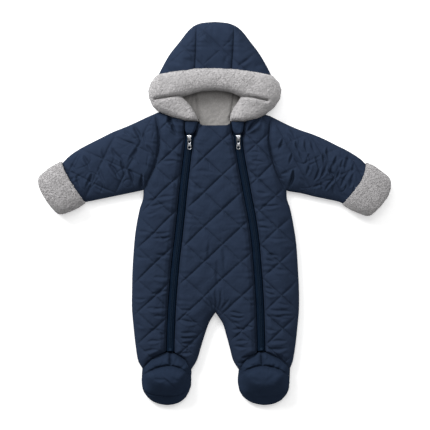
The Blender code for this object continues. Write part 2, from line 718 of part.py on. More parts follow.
def make_foot(side):
    """A closed foot: two gusset halves over the ankle, a toe cap and a sole."""
    rim, toe = EDGES["foot_rim"][side], EDGES["toe_seam"][side]
    inner, outer = zip_edges(side)
    foot_of_zip = (inner[-1] + outer[-1]) / 2
    split = int(np.argmin(np.abs(toe[:, 0] - foot_of_zip[0])))
    top = foot_top(side)
    rim_out = rim[:nearest(rim, toe[0]) + 1]
    rim_in = rim[nearest(rim, toe[-1]):]
    halves = {
        "outer": ring_of(foot_of_zip[None], outer[-1:], EDGES["gusset_out"][side][1:-1],
                         rim_out, toe[1:split + 1]),
        "inner": ring_of(foot_of_zip[None], toe[split:], rim_in[1:],
                         EDGES["gusset_in"][side][::-1][1:-1], inner[-1:]),
    }
    for half, ring in halves.items():
        wall(f"gusset_{half}_{side}", ring, top, foot_inner, "navy_plain",
             step=10.0, bands=(4.0,))
    edge = EDGES["cap_edge"][side]
    before = rim[nearest(rim, toe[0]):nearest(rim, edge[0])]
    after = rim[nearest(rim, edge[-1]) + 1:nearest(rim, toe[-1])]
    ring = ring_of(toe[::-1], before[1:], edge, after)
    wall(f"toe_cap_{side}", ring, top, foot_inner, "navy_plain", step=12.0,
         bands=(3.0, 9.0))

    def sole_top(points):
        past = ~inside(points, ring) & (to_line(points, edge) > 0.8)
        past &= points[:, 1] < edge[0, 1]
        ends = np.min([np.linalg.norm(points - edge[k], axis=1) for k in (0, -1)], axis=0)
        turned = TOE_STEP * dome(to_line(points, rim) / 9.0) * ramp((ends - 10.0) / 14.0)
        return BACK_THICK + np.where(past, turned, 0.0)

    outward = -SIGN[side]
    steps = [beside(edge, outward * 0.5)[1:-1], beside(edge, outward * 1.2)[1:-1]]
    lip = beside(edge, outward * 6.0)[3:-3]
    under = back_under([rim])
    wall(f"sole_{side}", ring_of(rim), sole_top, under, "navy_plain", step=PLAIN_STEP,
         bands=(4.0,), chains=[*steps, lip])


def nearest(chain, point):
    """The index of the chain's point that is nearest to a point."""
    return int(np.argmin(np.linalg.norm(chain - point, axis=1)))


def foot_inner(points):
    return np.full(len(points), BACK_THICK + SEAM_GAP)


# --------------------------------------------------------------------------- hood

def hood_chain():
    """The hood's edge from one lower corner over the crown to the other."""
    return np.vstack([EDGES["hood"]["r"][::-1], EDGES["hood"]["l"][1:]])


def hood_top(points):
    """The hood's front layer, before its quilting."""
    edge = BACK_THICK + EDGE_THICK + SEAM_GAP
    swell = dome(to_line(points, hood_chain()) / 44.0)
    seams = [EDGES["crown"][side] for side in "lr"]
    dip = 4.5 * (1.0 - ramp(to_lines(points, seams) / SEAM_ROUND)) * swell
    return edge + (HOOD_TOP - edge) * swell - dip


def hood_inner(points):
    """The hood's inner face, with slack for the head towards the face opening."""
    slack = ramp(to_line(points, hood_chain()) / 60.0)
    return BACK_THICK + SEAM_GAP + (LINING_THICK + HOOD_HOLLOW) * slack


def crown_split(side):
    """The chain's index where the crown seam reaches the hood's edge."""
    end = EDGES["crown"][side][-1]
    edge = EDGES["hood"][side]
    return int(np.argmin(np.linalg.norm(edge - end, axis=1)))


def upper_split(side):
    """Where the crown seam meets the brim's upper edge."""
    start = EDGES["crown"][side][0]
    return int(np.argmin(np.linalg.norm(EDGES["brim_upper"][side] - start, axis=1)))


def make_hood():
    """A three-piece hood: the crown strip, the two sides and the layer behind."""
    seam = {}
    for side in "lr":
        top_at = EDGES["hood"][side][crown_split(side)]
        low_at = EDGES["brim_upper"][side][upper_split(side)]
        seam[side] = np.vstack([low_at, EDGES["crown"][side][1:-1], top_at])
        edge = EDGES["hood"][side][crown_split(side):]
        upper = EDGES["brim_upper"][side][upper_split(side):]
        ring = ring_of(seam[side], edge[1:], upper[::-1][1:-1])
        wall(f"hood_side_{side}", ring, hood_top, hood_inner, "navy_quilt",
             quilt=QUILTS["hood"])
    tops = [EDGES["hood"][s][:crown_split(s) + 1] for s in "lr"]
    lows = [EDGES["brim_upper"][s][:upper_split(s) + 1] for s in "lr"]
    ring = ring_of(lows[0], seam["l"][1:-1], tops[0][::-1], tops[1][1:],
                   seam["r"][::-1][1:-1], lows[1][::-1][:-1])
    wall("hood_crown", ring, hood_top, hood_inner, "navy_quilt", quilt=QUILTS["hood"])
    left, right = EDGES["hood_side"]["l"], EDGES["hood_side"]["r"]
    ring = ring_of(hood_chain(), left[1:], right[::-1][:-1])
    chains = [hood_chain(), left, right]
    wall("hood_back", ring, back_inner, back_under(chains), "navy_quilt",
         step=PLAIN_STEP)


def brim_top(points):
    """A soft roll: high over the forehead, low where its ends meet the neck."""
    ring = brim_ring()
    loop = np.vstack([ring, ring[:1]])
    swell = dome(to_line(points, loop) / 19.0)
    high = LIP_TOP + (BRIM_TOP - LIP_TOP) * ramp((points[:, 1] - 206.0) / 46.0)
    foot = 26.0 + 10.0 * ramp((points[:, 1] - 206.0) / 46.0)
    foot = foot - 4.0 * ramp((np.abs(points[:, 0]) - 84.0) / 40.0)
    creases = [EDGES["crease"][side] for side in "lr"]
    dip = 11.0 * (1.0 - ramp(to_lines(points, creases) / 12.0)) * swell
    return foot + (high - foot) * swell - dip


def brim_under(points):
    """Over the lining at the lips, over the slack of the hood at the forehead."""
    low = BACK_THICK + LINING_THICK + 2 * SEAM_GAP + 0.6
    rise = ramp((points[:, 1] - 214.0) / 30.0) * (1 - ramp((np.abs(points[:, 0]) - 46.0) / 50.0))
    return low + (HOOD_HOLLOW - 1.0) * rise


def brim_ring():
    """The brim's outline: a C, open at the chin."""
    tips = {}
    for side in "lr":
        neck = EDGES["neck"][side]
        tips[side] = neck[np.abs(neck[:, 0]) > 27.0]
    return ring_of(
        EDGES["brim_lower"]["l"][::-1], EDGES["brim_lower"]["r"][1:],
        EDGES["lip_inner"]["r"][1:], tips["r"],
        EDGES["brim_outer"]["r"][::-1][1:], EDGES["brim_upper"]["r"][::-1][1:],
        EDGES["brim_upper"]["l"][1:], EDGES["brim_outer"]["l"][1:],
        tips["l"][::-1][1:], EDGES["lip_inner"]["l"][::-1][:-1])


def make_brim():
    wall("hood_brim", brim_ring(), brim_top, brim_under, "sherpa_grey",
         step=12.0, bands=(3.0, 9.0))


def make_lining():
    """The hood's lining where its mouth shows it: a middle and two sides."""
    low = BACK_THICK + SEAM_GAP
    seams = EDGES["lining"]
    neck = np.array([(-34, 187), (-29, 179.5), (28, 179.5), (29, 187)])

    def top(points):
        dip = 1.8 * (1 - ramp(to_lines(points, [seams["l"], seams["r"]]) / 9.0))
        return low + LINING_THICK - dip

    def under(points):
        return np.full(len(points), low)

    ring = ring_of(seams["r"][::-1], neck, seams["l"])
    wall("hood_lining_middle", ring, top, under, "lining_grey", step=18.0, bands=(5.0,))
    for side in "lr":
        sign = SIGN[side]
        outer = np.array([(sign * 92, 258), (sign * 92, 214), (sign * 74, 198)])
        ring = ring_of(seams[side], outer)
        wall(f"hood_lining_side_{side}", ring, top, under, "lining_grey",
             step=18.0, bands=(5.0,))


# --------------------------------------------------------------------------- zips

def make_zip_cloth(side):
    """The zip's strip with its raised row of teeth, and the guard at its top."""
    line = EDGES["zip"][side]
    inner, outer = zip_edges(side)
    cut = int(np.argmin(np.abs(line[:, 1] - GARAGE_FOOT)))

    def strip_top(points):
        teeth = 1.0 - ramp((to_line(points, line) - TEETH_HALF + 0.6) / 0.5)
        return zip_level(points) + TEETH_HIGH * teeth

    def guard_top(points):
        mound = dome(to_lines(points, [inner, outer]) / 7.0)
        return body_top(points) + 5.0 * mound

    ring = ring_of(inner[cut:], outer[cut:][::-1])
    middle = line[cut:]
    middle = np.vstack([middle[0] + (middle[1] - middle[0]) * 0.2, middle[1:-1]])
    teeth = [beside(middle, offset) for offset in (-TEETH_HALF, 1 - TEETH_HALF,
                                                   TEETH_HALF - 1, TEETH_HALF)]
    wall(f"zip_tape_{side}", ring, strip_top, front_inner, "zip_navy",
         step=14.0, bands=(), chains=teeth)
    ring = ring_of(inner[:cut + 1], outer[:cut + 1][::-1])
    wall(f"zip_guard_{side}", ring, guard_top, front_inner, "navy_plain",
         step=6.0, bands=(3.0,))


def zip_level(points):
    """The zip tape's face, level across the dip between the two panels."""
    edge = BACK_THICK + EDGE_THICK + SEAM_GAP
    swell = dome(to_lines(points, BODY_EDGES) / BODY_ROUND)
    return edge + (BODY_TOP - SEAM_DIP - edge) * swell


def zip_place(side):
    """The slider's middle and the direction of the zip there, running to the feet."""
    line = EDGES["zip"][side]
    at = int(np.argmin(np.abs(line[:, 1] - SLIDER_Y)))
    x = float(np.interp(-SLIDER_Y, -line[:, 1], line[:, 0]))
    run = line[at + 1] - line[at - 1]
    return np.array([x, SLIDER_Y]), run / np.linalg.norm(run)


def box_mesh(mesh, low, high):
    """A box between two corners."""
    for vert in bmesh.ops.create_cube(mesh, size=1.0)["verts"]:
        for k in range(3):
            vert.co[k] = (low[k] if vert.co[k] < 0 else high[k])


def make_slider(side):
    """The metal slider: a body with a waist and the arched bail that holds the pull."""
    place, _ = zip_place(side)
    base = slider_base(side)
    name = f"zip_slider_{side}"
    # Columns: y from the middle, half width; the body's plan from the nose to the tail
    plan = ((6.0, 2.6), (4.6, 4.3), (0.5, 4.0), (-3.4, 3.3), (-6.0, 3.0))
    ring = [(w, y) for y, w in plan] + [(-w, y) for y, w in plan[::-1]]
    points, faces = [], []
    for z, grow in ((0.0, -0.5), (0.6, 0.0), (SLIDER_HIGH - 0.8, 0.0), (SLIDER_HIGH, -0.8)):
        for x, y in ring:
            points.append((x + grow * math.copysign(1.0, x), y + grow * y / 6.0, z))
    count = len(ring)
    for layer in range(3):
        for i in range(count):
            j = (i + 1) % count
            a, b = layer * count + i, layer * count + j
            faces.append([a, a + count, b + count, b])
    faces.append(list(range(count)))
    faces.append([3 * count + i for i in range(count)][::-1])
    body = add_object(name, np.array(points) + (place[0], place[1], base), faces, "zip_metal")
    set_outward(body)
    bail = make_bail(side, place, base)
    join = body.modifiers.new("bail", "BOOLEAN")
    join.operation = "UNION"
    join.object = bail


def make_bail(side, place, base):
    """The arch over the slider, a square wire on an arc, joined to the body."""
    steps = 10
    points, faces = [], []
    half = BAIL_WIRE / 2
    low = SLIDER_HIGH - 0.6
    for k in range(steps + 1):
        a = math.pi * k / steps
        for x, r in ((-half, 0.0), (half, 0.0), (half, BAIL_WIRE), (-half, BAIL_WIRE)):
            y = math.cos(a) * (BAIL_HALF + r - BAIL_WIRE / 2)
            z = low + math.sin(a) * (BAIL_HIGH + r - BAIL_WIRE)
            points.append((x, y, z))
    for k in range(steps):
        for i in range(4):
            j = (i + 1) % 4
            faces.append([k * 4 + i, k * 4 + j, (k + 1) * 4 + j, (k + 1) * 4 + i])
    faces.append([0, 1, 2, 3][::-1])
    faces.append([steps * 4 + i for i in range(4)])
    made = add_object(f"bail_cutter_{side}",
                      np.array(points) + (place[0], place[1], base), faces, "zip_metal")
    set_outward(made)
    made.hide_render = True
    made.display_type = "WIRE"
    return made


def slider_base(side):
    """The height of the slider's underside, just over the zip's teeth."""
    place, _ = zip_place(side)
    return float(zip_level(place[None])[0]) + TEETH_HIGH + 0.3


def make_pull(side):
    """The pull tab: an eye round the bail's wire, a neck and a long flat tab."""
    place, _ = zip_place(side)
    pivot = pull_pivot(side)
    mesh = bmesh.new()
    # Columns: y from the pivot, half width of the tab
    plan = ((0.75, 2.6), (-4.0, 2.7), (-7.6, 2.3), (-10.5, 3.0), (-16.0, 3.6),
            (-22.5, 3.8), (-24.2, 3.2), (-25.0, 2.0))
    ring = [(w, y) for y, w in plan] + [(-w, y) for y, w in plan[::-1]]
    lower = [mesh.verts.new((x, y, -PULL_THICK / 2)) for x, y in ring]
    upper = [mesh.verts.new((x, y, PULL_THICK / 2)) for x, y in ring]
    mesh.faces.new(lower[::-1])
    mesh.faces.new(upper)
    for i in range(len(ring)):
        j = (i + 1) % len(ring)
        mesh.faces.new((lower[i], lower[j], upper[j], upper[i]))
    bmesh.ops.recalc_face_normals(mesh, faces=mesh.faces)
    data = bpy.data.meshes.new(f"zip_pull_{side}")
    mesh.to_mesh(data)
    mesh.free()
    data.transform(((MM, 0, 0, 0), (0, MM, 0, 0), (0, 0, MM, 0), (0, 0, 0, 1)))
    data.materials.append(material("zip_metal"))
    pull = bpy.data.objects.new(f"zip_pull_{side}", data)
    bpy.context.scene.collection.objects.link(pull)
    pull.location = np.array(pivot) * MM
    pull.rotation_euler = (math.radians(PULL_DROOP), 0.0, 0.0)
    eye = bmesh.new()
    wide, deep = PULL_EYE_HALF * MM, 2 * PULL_THICK * MM
    box_mesh(eye, (-wide, -PULL_EYE * MM, -deep), (wide, -PULL_BAR / 2 * MM, deep))
    eye_data = bpy.data.meshes.new("eye")
    eye.to_mesh(eye_data)
    eye.free()
    cutter = bpy.data.objects.new(f"eye_cutter_{side}", eye_data)
    bpy.context.scene.collection.objects.link(cutter)
    cutter.parent = pull
    cutter.hide_render = True
    cutter.display_type = "WIRE"
    cut = pull.modifiers.new("eye", "BOOLEAN")
    cut.operation = "DIFFERENCE"
    cut.object = cutter


def pull_pivot(side):
    """The pull's hinge line: inside the bail's arch, clear of the slider's face."""
    place, _ = zip_place(side)
    return (place[0], place[1], slider_base(side) + SLIDER_HIGH + PULL_LIFT)


# --------------------------------------------------------------------------- build

clear_scene()
make_back()
make_front_centre()
for wearer_side in "lr":
    make_front_side(wearer_side)
    make_sleeve(wearer_side)
    make_cuff(wearer_side)
    make_foot(wearer_side)
    make_zip_cloth(wearer_side)
    make_slider(wearer_side)
    make_pull(wearer_side)
make_hood()
make_brim()
make_lining()
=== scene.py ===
"""A baby's quilted snowsuit, laid flat on its back: its looks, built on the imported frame.

Lengths in the tables are millimetres, with the head towards +Y and the front facing +Z.
The wearer's left is at +X. Names end in _l and _r for the wearer's sides.
"""
import json
import math
from functools import partial

import bmesh
import bpy
import numpy as np
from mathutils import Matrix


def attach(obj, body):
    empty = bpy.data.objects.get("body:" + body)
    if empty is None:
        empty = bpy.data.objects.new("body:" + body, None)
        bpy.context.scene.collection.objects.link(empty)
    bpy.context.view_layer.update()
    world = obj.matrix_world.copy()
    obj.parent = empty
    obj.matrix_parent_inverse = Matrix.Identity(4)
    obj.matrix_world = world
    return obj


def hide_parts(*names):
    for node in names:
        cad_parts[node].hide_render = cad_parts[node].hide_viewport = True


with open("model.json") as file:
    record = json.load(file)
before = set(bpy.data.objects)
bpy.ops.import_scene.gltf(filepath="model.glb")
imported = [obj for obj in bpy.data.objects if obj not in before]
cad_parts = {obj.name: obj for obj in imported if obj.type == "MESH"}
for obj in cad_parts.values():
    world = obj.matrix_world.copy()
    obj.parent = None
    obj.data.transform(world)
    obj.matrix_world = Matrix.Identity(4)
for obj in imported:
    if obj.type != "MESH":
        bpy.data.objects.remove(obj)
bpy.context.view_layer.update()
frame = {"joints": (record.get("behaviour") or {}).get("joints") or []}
BODY = "garment"


# ------------------------------------------------------------------ back of the suit
# One panel from the neck to both ankles: a plain-weave shell quilted in diamonds over
# wadding. It carries the whole weight, so it lies flat but for the stitch lines, and
# its edge turns up to the side seams.

MM = 0.001
SEAM_Z = 12.4            # height of the side seams over the surface
RIM_HIGH = 17.4          # of the foot's edge and the zips' ends over the surface
CROTCH = -197.0          # where the legs part, along Y
UP = np.array([0.0, 0.0, 1.0])
# Edges in plan. Columns: x on the wearer's left, y, x on the right, y
ARMHOLE = (
    (112, 195, -119, 201), (109, 170, -114, 176), (108, 146, -111, 152),
    (112, 118, -114, 118), (121, 90, -123, 88), (131, 66, -134, 64),
    (143, 47, -143, 48),
)
SIDE = (
    (143, 47, -143, 48), (144, 30, -144, 30), (151, 8, -151, 8),
    (158, -28, -158, -28), (163, -64, -162, -64), (166, -110, -165, -110),
    (168, -150, -166, -150), (168, -190, -166, -190), (165, -226, -163, -226),
    (161, -262, -159, -262), (156, -292, -154, -292), (150, -309, -145, -309),
)
INSEAM = (
    (1, -197, 1, -197), (8, -207, -6, -207), (16, -220, -13, -220),
    (22, -240, -20, -240), (29, -266, -28, -266), (36, -292, -36, -292),
    (48, -312, -48, -312),
)
SLEEVE_TOP = (
    (112, 195, -119, 201), (128, 187, -133, 195), (146, 178, -148, 188),
    (170, 168, -174, 176), (194, 160, -204, 164), (218, 150, -228, 152),
    (242, 138, -252, 140), (266, 126, -274, 128), (288, 112, -291, 116),
    (301, 100, -305, 102),
)
SLEEVE_FOOT = (
    (143, 47, -143, 48), (150, 45, -151, 46), (174, 41, -175, 41),
    (198, 35, -199, 36), (222, 30, -223, 31), (246, 25, -248, 26),
    (256, 21, -260, 24),
)
NECK_SIDE = (
    (34, 183, -34, 183), (58, 184, -60, 186), (84, 190, -82, 192),
    (101, 199, -112, 204),
)
SIDES = {"l": 1.0, "r": -1.0}


def curve(points, step=4.0):
    """A Catmull-Rom curve: each stretch is the cubic that leaves and meets its two
    points along the line between their neighbours."""
    pts = np.asarray(points, float)
    ends = np.vstack([2 * pts[0] - pts[1], pts, 2 * pts[-1] - pts[-2]])
    out = []
    for a, b, c, d in zip(ends[:-3], ends[1:-2], ends[2:-1], ends[3:]):
        count = max(1, round(float(np.linalg.norm(c - b)) / step))
        t = (np.arange(count) / count)[:, None]
        out.append(0.5 * (2 * b + (c - a) * t + (2 * a - 5 * b + 4 * c - d) * t**2
                          + (3 * b - a - 3 * c + d) * t**3))
    return np.vstack([*out, pts[-1:]])


def edge(table, side, step=4.0):
    """One side's curve of an edge table."""
    rows = np.asarray(table, float)
    return curve(rows[:, :2] if side == "l" else rows[:, 2:], step)


def lengths(chain):
    """The length of a chain up to each of its points."""
    return np.concatenate([[0.0], np.cumsum(np.linalg.norm(np.diff(chain, axis=0), axis=1))])


def unit(ways):
    """Each row brought to length 1, or left near 0 if it is."""
    return ways / np.maximum(np.linalg.norm(ways, axis=-1, keepdims=True), 1e-6)


def sideways(ways):
    """Plan directions turned a quarter to the right."""
    return np.column_stack([ways[:, 1], -ways[:, 0]])


def closed(ring):
    """A ring's points, with the first one again at the end."""
    return np.vstack([ring, ring[:1]])


def nearest(chain, point):
    """Which of a chain's points is nearest to a given one."""
    return int(np.argmin(np.linalg.norm(chain - point, axis=1)))


def along(chain, share):
    """Points at shares of a chain's length."""
    chain = np.asarray(chain, float)
    length = lengths(chain)
    at = np.asarray(share) * length[-1]
    return np.stack([np.interp(at, length, chain[:, k]) for k in range(chain.shape[1])], -1)


def ramp(value):
    """0 to 1, level at both ends: 3t^2 - 2t^3."""
    t = np.clip(value, 0.0, 1.0)
    return t * t * (3.0 - 2.0 * t)


def dome(value):
    """A quarter of an ellipse: steep at 0, level at 1."""
    t = np.clip(value, 0.0, 1.0)
    return np.sqrt(1.0 - (1.0 - t) ** 2)


def power(value, index):
    """A power that keeps the value's sign."""
    return np.sign(value) * np.abs(value) ** index


def offsets(flat, chain):
    """For each straight run of a chain: every point's squared distance to the nearest
    point between the run's ends, and that point's share along the run."""
    for a, b in zip(chain[:-1], chain[1:]):
        run = b - a
        t = np.clip(((flat - a) @ run) / max(run @ run, 1e-9), 0, 1)
        yield np.sum((flat - a - t[:, None] * run) ** 2, axis=1), t


def away(plan, chains):
    """Each point's plan distance to the nearest of some chains."""
    flat = plan[..., :2].reshape(-1, 2)
    best = np.full(len(flat), np.inf)
    for chain in chains:
        for off, _ in offsets(flat, chain):
            best = np.minimum(best, off)
    return np.sqrt(best).reshape(plan.shape[:-1])


def raised(plan, height):
    """The plan's points at their heights."""
    return np.concatenate([plan, height[..., None]], -1)


def ripple(points, length, seed):
    """Soft random relief, about -1 to 1: the sum of sixteen sine waves of about one
    length, each in its own direction."""
    pick = np.random.default_rng(seed)
    way = pick.normal(size=(points.shape[-1], 16))
    way *= 2 * math.pi / (length * np.linalg.norm(way, axis=0) * pick.uniform(0.75, 1.4, 16))
    return np.sin(points @ way + pick.uniform(0, 2 * math.pi, 16)).sum(-1) * 0.22


def patch(foot, head, first, last, across, down):
    """A plan grid between four edges (a Coons patch): the blend of the two side edges
    plus the blend of the two end edges minus the blend of the four corners."""
    u, v = across[None, :, None], down[:, None, None]
    lows, highs = along(foot, across)[None], along(head, across)[None]
    left, right = first[:, None], last[:, None]
    corners = ((1 - u) * ((1 - v) * foot[0] + v * head[0])
               + u * ((1 - v) * foot[-1] + v * head[-1]))
    return (1 - v) * lows + v * highs + (1 - u) * left + u * right - corners


def stations(count, crowd=0.5):
    """Shares from 0 to 1, crowded towards both ends like the shadow of a turning point."""
    t = np.linspace(0, 1, count)
    return (1 - crowd) * t + crowd * (1 - np.cos(math.pi * t)) / 2


def hem(grid, drop=3.0, tuck=3.0):
    """The grid with its edges turned down and under: one row lower, one tucked inside."""
    for axis in (0, 1):
        grid = np.moveaxis(grid, axis, 0)
        rims = []
        for rim, inner in ((grid[0], grid[2]), (grid[-1], grid[-3])):
            run = unit((inner - rim) * (1, 1, 0))
            rims.append((rim - (0, 0, drop), rim + run * tuck - (0, 0, drop * 1.3)))
        (low0, in0), (low1, in1) = rims
        grid = np.concatenate([in0[None], low0[None], grid, low1[None], in1[None]])
        grid = np.moveaxis(grid, 0, axis)
    return grid


def placed(name, data):
    """A new object in the scene, at the origin."""
    made = bpy.data.objects.new(name, data)
    bpy.context.scene.collection.objects.link(made)
    return made


def smooth_mesh(name, points, faces):
    """An object with a smooth mesh from points in millimetres."""
    mesh = bpy.data.meshes.new(name)
    mesh.from_pydata(points.reshape(-1, 3) * MM, [], faces)
    mesh.shade_smooth()
    return placed(name, mesh)


def cloth(name, grids, round_u=False, round_v=False, faces_up=True):
    """A mesh from grids of points in millimetres, welded where they meet."""
    points, faces, start = [], [], 0
    for grid in grids:
        rows, cols = grid.shape[:2]
        index = np.arange(rows * cols).reshape(rows, cols) + start
        index = closed(index) if round_v else index
        index = closed(index.T).T if round_u else index
        faces.append(np.stack([index[:-1, :-1], index[:-1, 1:], index[1:, 1:], index[1:, :-1]],
                              -1).reshape(-1, 4))
        points.append(grid.reshape(-1, 3) * MM)
        start += rows * cols
    mesh = bpy.data.meshes.new(name)
    mesh.from_pydata(np.vstack(points), [], np.vstack(faces))
    work = bmesh.new()
    work.from_mesh(mesh)
    bmesh.ops.remove_doubles(work, verts=work.verts, dist=0.02 * MM)
    bmesh.ops.dissolve_degenerate(work, edges=work.edges, dist=0.001 * MM)
    bmesh.ops.recalc_face_normals(work, faces=work.faces)
    work.to_mesh(mesh)
    work.free()
    mesh.update()
    normals = np.zeros(len(mesh.polygons) * 3, np.float32)
    areas = np.zeros(len(mesh.polygons), np.float32)
    mesh.polygons.foreach_get("normal", normals)
    mesh.polygons.foreach_get("area", areas)
    tubular = round_u or round_v
    if not tubular and ((normals[2::3] * areas).sum() > 0) != faces_up:
        mesh.flip_normals()
    mesh.shade_smooth()
    return placed(name, mesh)


def dress(piece, finish, slot, *nodes, body=BODY):
    """Give a piece its material, its body and the nodes it stands for; the slot is not used."""
    piece.data.materials.append(finish)
    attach(piece, body)
    if nodes:
        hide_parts(*nodes)
    return piece


def line_normal(angle):
    """The direction across stitch lines that run at an angle to X."""
    turn = math.radians(angle)
    return np.array([-math.sin(turn), math.cos(turn)])


def sway(plan, seed):
    """How far a stitch line strays in plan."""
    return np.stack([ripple(plan, 95, seed), ripple(plan, 95, seed + 1)], -1) * 0.8


def quilting(plan, families, seed):
    """How far stitch lines draw the cloth down. Near each line the depth falls off
    twice: sharply beside the thread, and slowly over the puffed diamond."""
    plan = plan[..., :2]
    bent = plan + sway(plan, seed)
    uneven = 1.0 + 0.14 * ripple(plan, 60, seed + 2)
    deep = np.zeros(plan.shape[:-1])
    for angle, first, pitch, depth in families:
        steps = (bent @ line_normal(angle) - first) / pitch
        off = np.abs(steps - np.round(steps)) * pitch
        fall = 0.5 * np.exp(-(off / 1.8) ** 1.25) + 0.5 * np.exp(-(off / 9.0) ** 1.2)
        deep = np.maximum(deep, depth * fall)
    return deep * uneven


def node_tree(material, **sockets):
    """A material's node tree and its shader, with some of the shader's values set."""
    material.use_nodes = True
    tree = material.node_tree
    shader = tree.nodes["Principled BSDF"]
    for label, value in sockets.items():
        shader.inputs[label.replace("_", " ")].default_value = value
    return tree, shader


def effect_group(name, label, value):
    """A shader node group from a vector and a scale to a height and a tone."""
    tree = bpy.data.node_groups.new(name, "ShaderNodeTree")
    for socket, way, kind in (("Vector", "INPUT", "Vector"), (label, "INPUT", "Float"),
                              ("Height", "OUTPUT", "Float"), ("Tone", "OUTPUT", "Float")):
        made = tree.interface.new_socket(socket, in_out=way, socket_type="NodeSocket" + kind)
        if socket == label:
            made.default_value = value
    given = tree.nodes.new("NodeGroupInput").outputs
    return tree, given["Vector"], given[label], tree.nodes.new("NodeGroupOutput").inputs


def node(tree, kind, *values, **settings):
    """A new shader node's inputs and outputs. Each value is a pair: an input's name or
    number, and the socket it is joined to or the value it holds."""
    made = tree.nodes.new("ShaderNode" + kind)
    for label, value in settings.items():
        setattr(made, label, value)
    for label, value in values:
        if isinstance(value, bpy.types.NodeSocket):
            tree.links.new(value, made.inputs[label])
        else:
            made.inputs[label].default_value = value
    return made.inputs, made.outputs


def maths(tree, operation, *operands):
    """The result of one Math node. Each operand is a socket or a number."""
    return node(tree, "Math", *enumerate(operands), operation=operation)[1][0]


def noise(tree, vector, scale, detail, result="Fac"):
    """A soft noise of about one size, on the given coordinates."""
    return node(tree, "TexNoise", ("Scale", scale), ("Detail", detail),
                ("Vector", vector))[1][result]


def add_bump(tree, shader, height, strength, distance):
    """Let a height tilt the shader's normal."""
    _, bump = node(tree, "Bump", ("Strength", strength), ("Distance", distance),
                   ("Height", height))
    tree.links.new(bump["Normal"], shader.inputs["Normal"])


def two_tone(made, group, dark, light, strength, distance, **sockets):
    """A material from a group that gives a height, for its bump, and a tone, which runs
    from a darker colour to a lighter one. Returns the group's inputs and the shader."""
    tree, shader = node_tree(made, **sockets)
    _, where = node(tree, "TexCoord")
    given, effect = node(tree, "Group", ("Vector", where["Object"]), node_tree=group)
    _, dye = node(tree, "Mix", ("A", (*dark, 1.0)), ("B", (*light, 1.0)),
                  ("Factor", effect["Tone"]), data_type="RGBA")
    tree.links.new(dye["Result"], shader.inputs["Base Color"])
    add_bump(tree, shader, effect["Height"], strength, distance)
    return given, shader


def weave_group():
    """Plain weave: warp and weft threads that pass over each other in turn.
    Height is thread relief, Tone a slow unevenness of the dye."""
    tree, vector, threads, result = effect_group("plain weave", "Threads per metre", 1700.0)
    _, fine = node(tree, "VectorMath", (0, vector), ("Scale", threads), operation="SCALE")
    _, split = node(tree, "SeparateXYZ", (0, fine[0]))
    warp, weft = (maths(tree, "SINE", maths(tree, "MULTIPLY", split[axis], math.pi))
                  for axis in (0, 1))
    height = maths(tree, "ABSOLUTE", maths(tree, "MULTIPLY", warp, weft))
    tree.links.new(height, result["Height"])
    tree.links.new(noise(tree, vector, 55.0, 4.0), result["Tone"])
    return tree


WEAVE = weave_group()


def shell_cloth(name, colour, light, roughness, relief=0.12):
    """Woven shell: the weave's bump, and its tone between a darker and a lighter dye."""
    made = bpy.data.materials.new(name)
    _, shader = two_tone(made, WEAVE, colour, light, relief, 0.0003, Roughness=roughness,
                         Sheen_Weight=0.006, Sheen_Roughness=0.5, Specular_IOR_Level=0.0)
    shader.inputs["Sheen Tint"].default_value = (0.4, 0.55, 0.85, 1.0)
    return made


NAVY = shell_cloth("navy quilted shell", (0.0150, 0.0228, 0.0420),
                   (0.0210, 0.0315, 0.0565), 0.72)

# Edges of the whole suit, where the front comes down to its seams
free_edges = []
for side in SIDES:
    neck_end, arm_top = edge(NECK_SIDE, side)[-1], edge(ARMHOLE, side)[0]
    beyond = neck_end + (neck_end - arm_top) * 3.0
    free_edges.append(np.vstack([beyond, neck_end, arm_top, edge(SLEEVE_TOP, side, 12)]))
    free_edges += [edge(SLEEVE_FOOT, side, 12), edge(SIDE, side, 12), edge(INSEAM, side, 9)]


def half_panel(middle, outer, top, foot, upper, lower, across):
    """A plan grid of half a panel, with a row of points at the crotch."""
    shares = np.linspace(0, 1, upper + 1)[:-1], np.linspace(0, 1, lower + 1)
    rows = []
    for chain in (middle, outer):
        cut = int(np.argmin(np.abs(chain[:, 1] - CROTCH)))
        rows.append(np.vstack([along(chain[:cut + 1], shares[0]), along(chain[cut:], shares[1])]))
    return patch(top, foot, *rows, across, np.linspace(0, 1, upper + lower + 1))


BACK_QUILT = ((43, 96.5, 50.3, 2.4), (-43, 66.7, 50.3, 2.4))


def back_face(plan, edges, families):
    """The underside: flat, turned up to the seams, with its stitch lines let in."""
    lift = SEAM_Z * (1 - dome(away(plan, edges) / 18.0))
    flat = quilting(plan, families, 5) * ramp(away(plan, edges) / 14.0) * 0.6
    return raised(plan, lift + flat)


halves = []
for side, sign in SIDES.items():
    outer = np.vstack([edge(ARMHOLE, side), edge(SIDE, side)[1:]])
    middle = np.vstack([np.linspace((1, 199), (1, CROTCH), 100), edge(INSEAM, side)[1:]])
    top = np.array([(1, 199), edge(NECK_SIDE, side)[-1], outer[0]])
    foot = np.array([middle[-1], outer[-1]])
    halves.append(half_panel(middle, outer, top, foot, 104, 34, stations(42)))
back_edges = [edge(t, s, 10) for t in (SIDE, INSEAM) for s in SIDES]
back_edges += [np.array([edge(NECK_SIDE, s)[-1], edge(ARMHOLE, s)[0]]) for s in SIDES]


def allowance(half):
    """A half with its seam allowance turned in and up under the front, along its outer
    edge and, below the crotch, along the leg's inner one."""
    turned = []
    for rim, inner, sewn in ((half[:, :1], half[:, 2:3], half[:, :1, 1:2] < CROTCH - 1),
                             (half[:, -1:], half[:, -3:-2], 1)):
        run = unit((inner - rim) * (1, 1, 0))
        turned.append(rim + (run * 4.0 + UP * 4.6) * sewn)
    return np.concatenate([turned[0], half, turned[1]], axis=1)


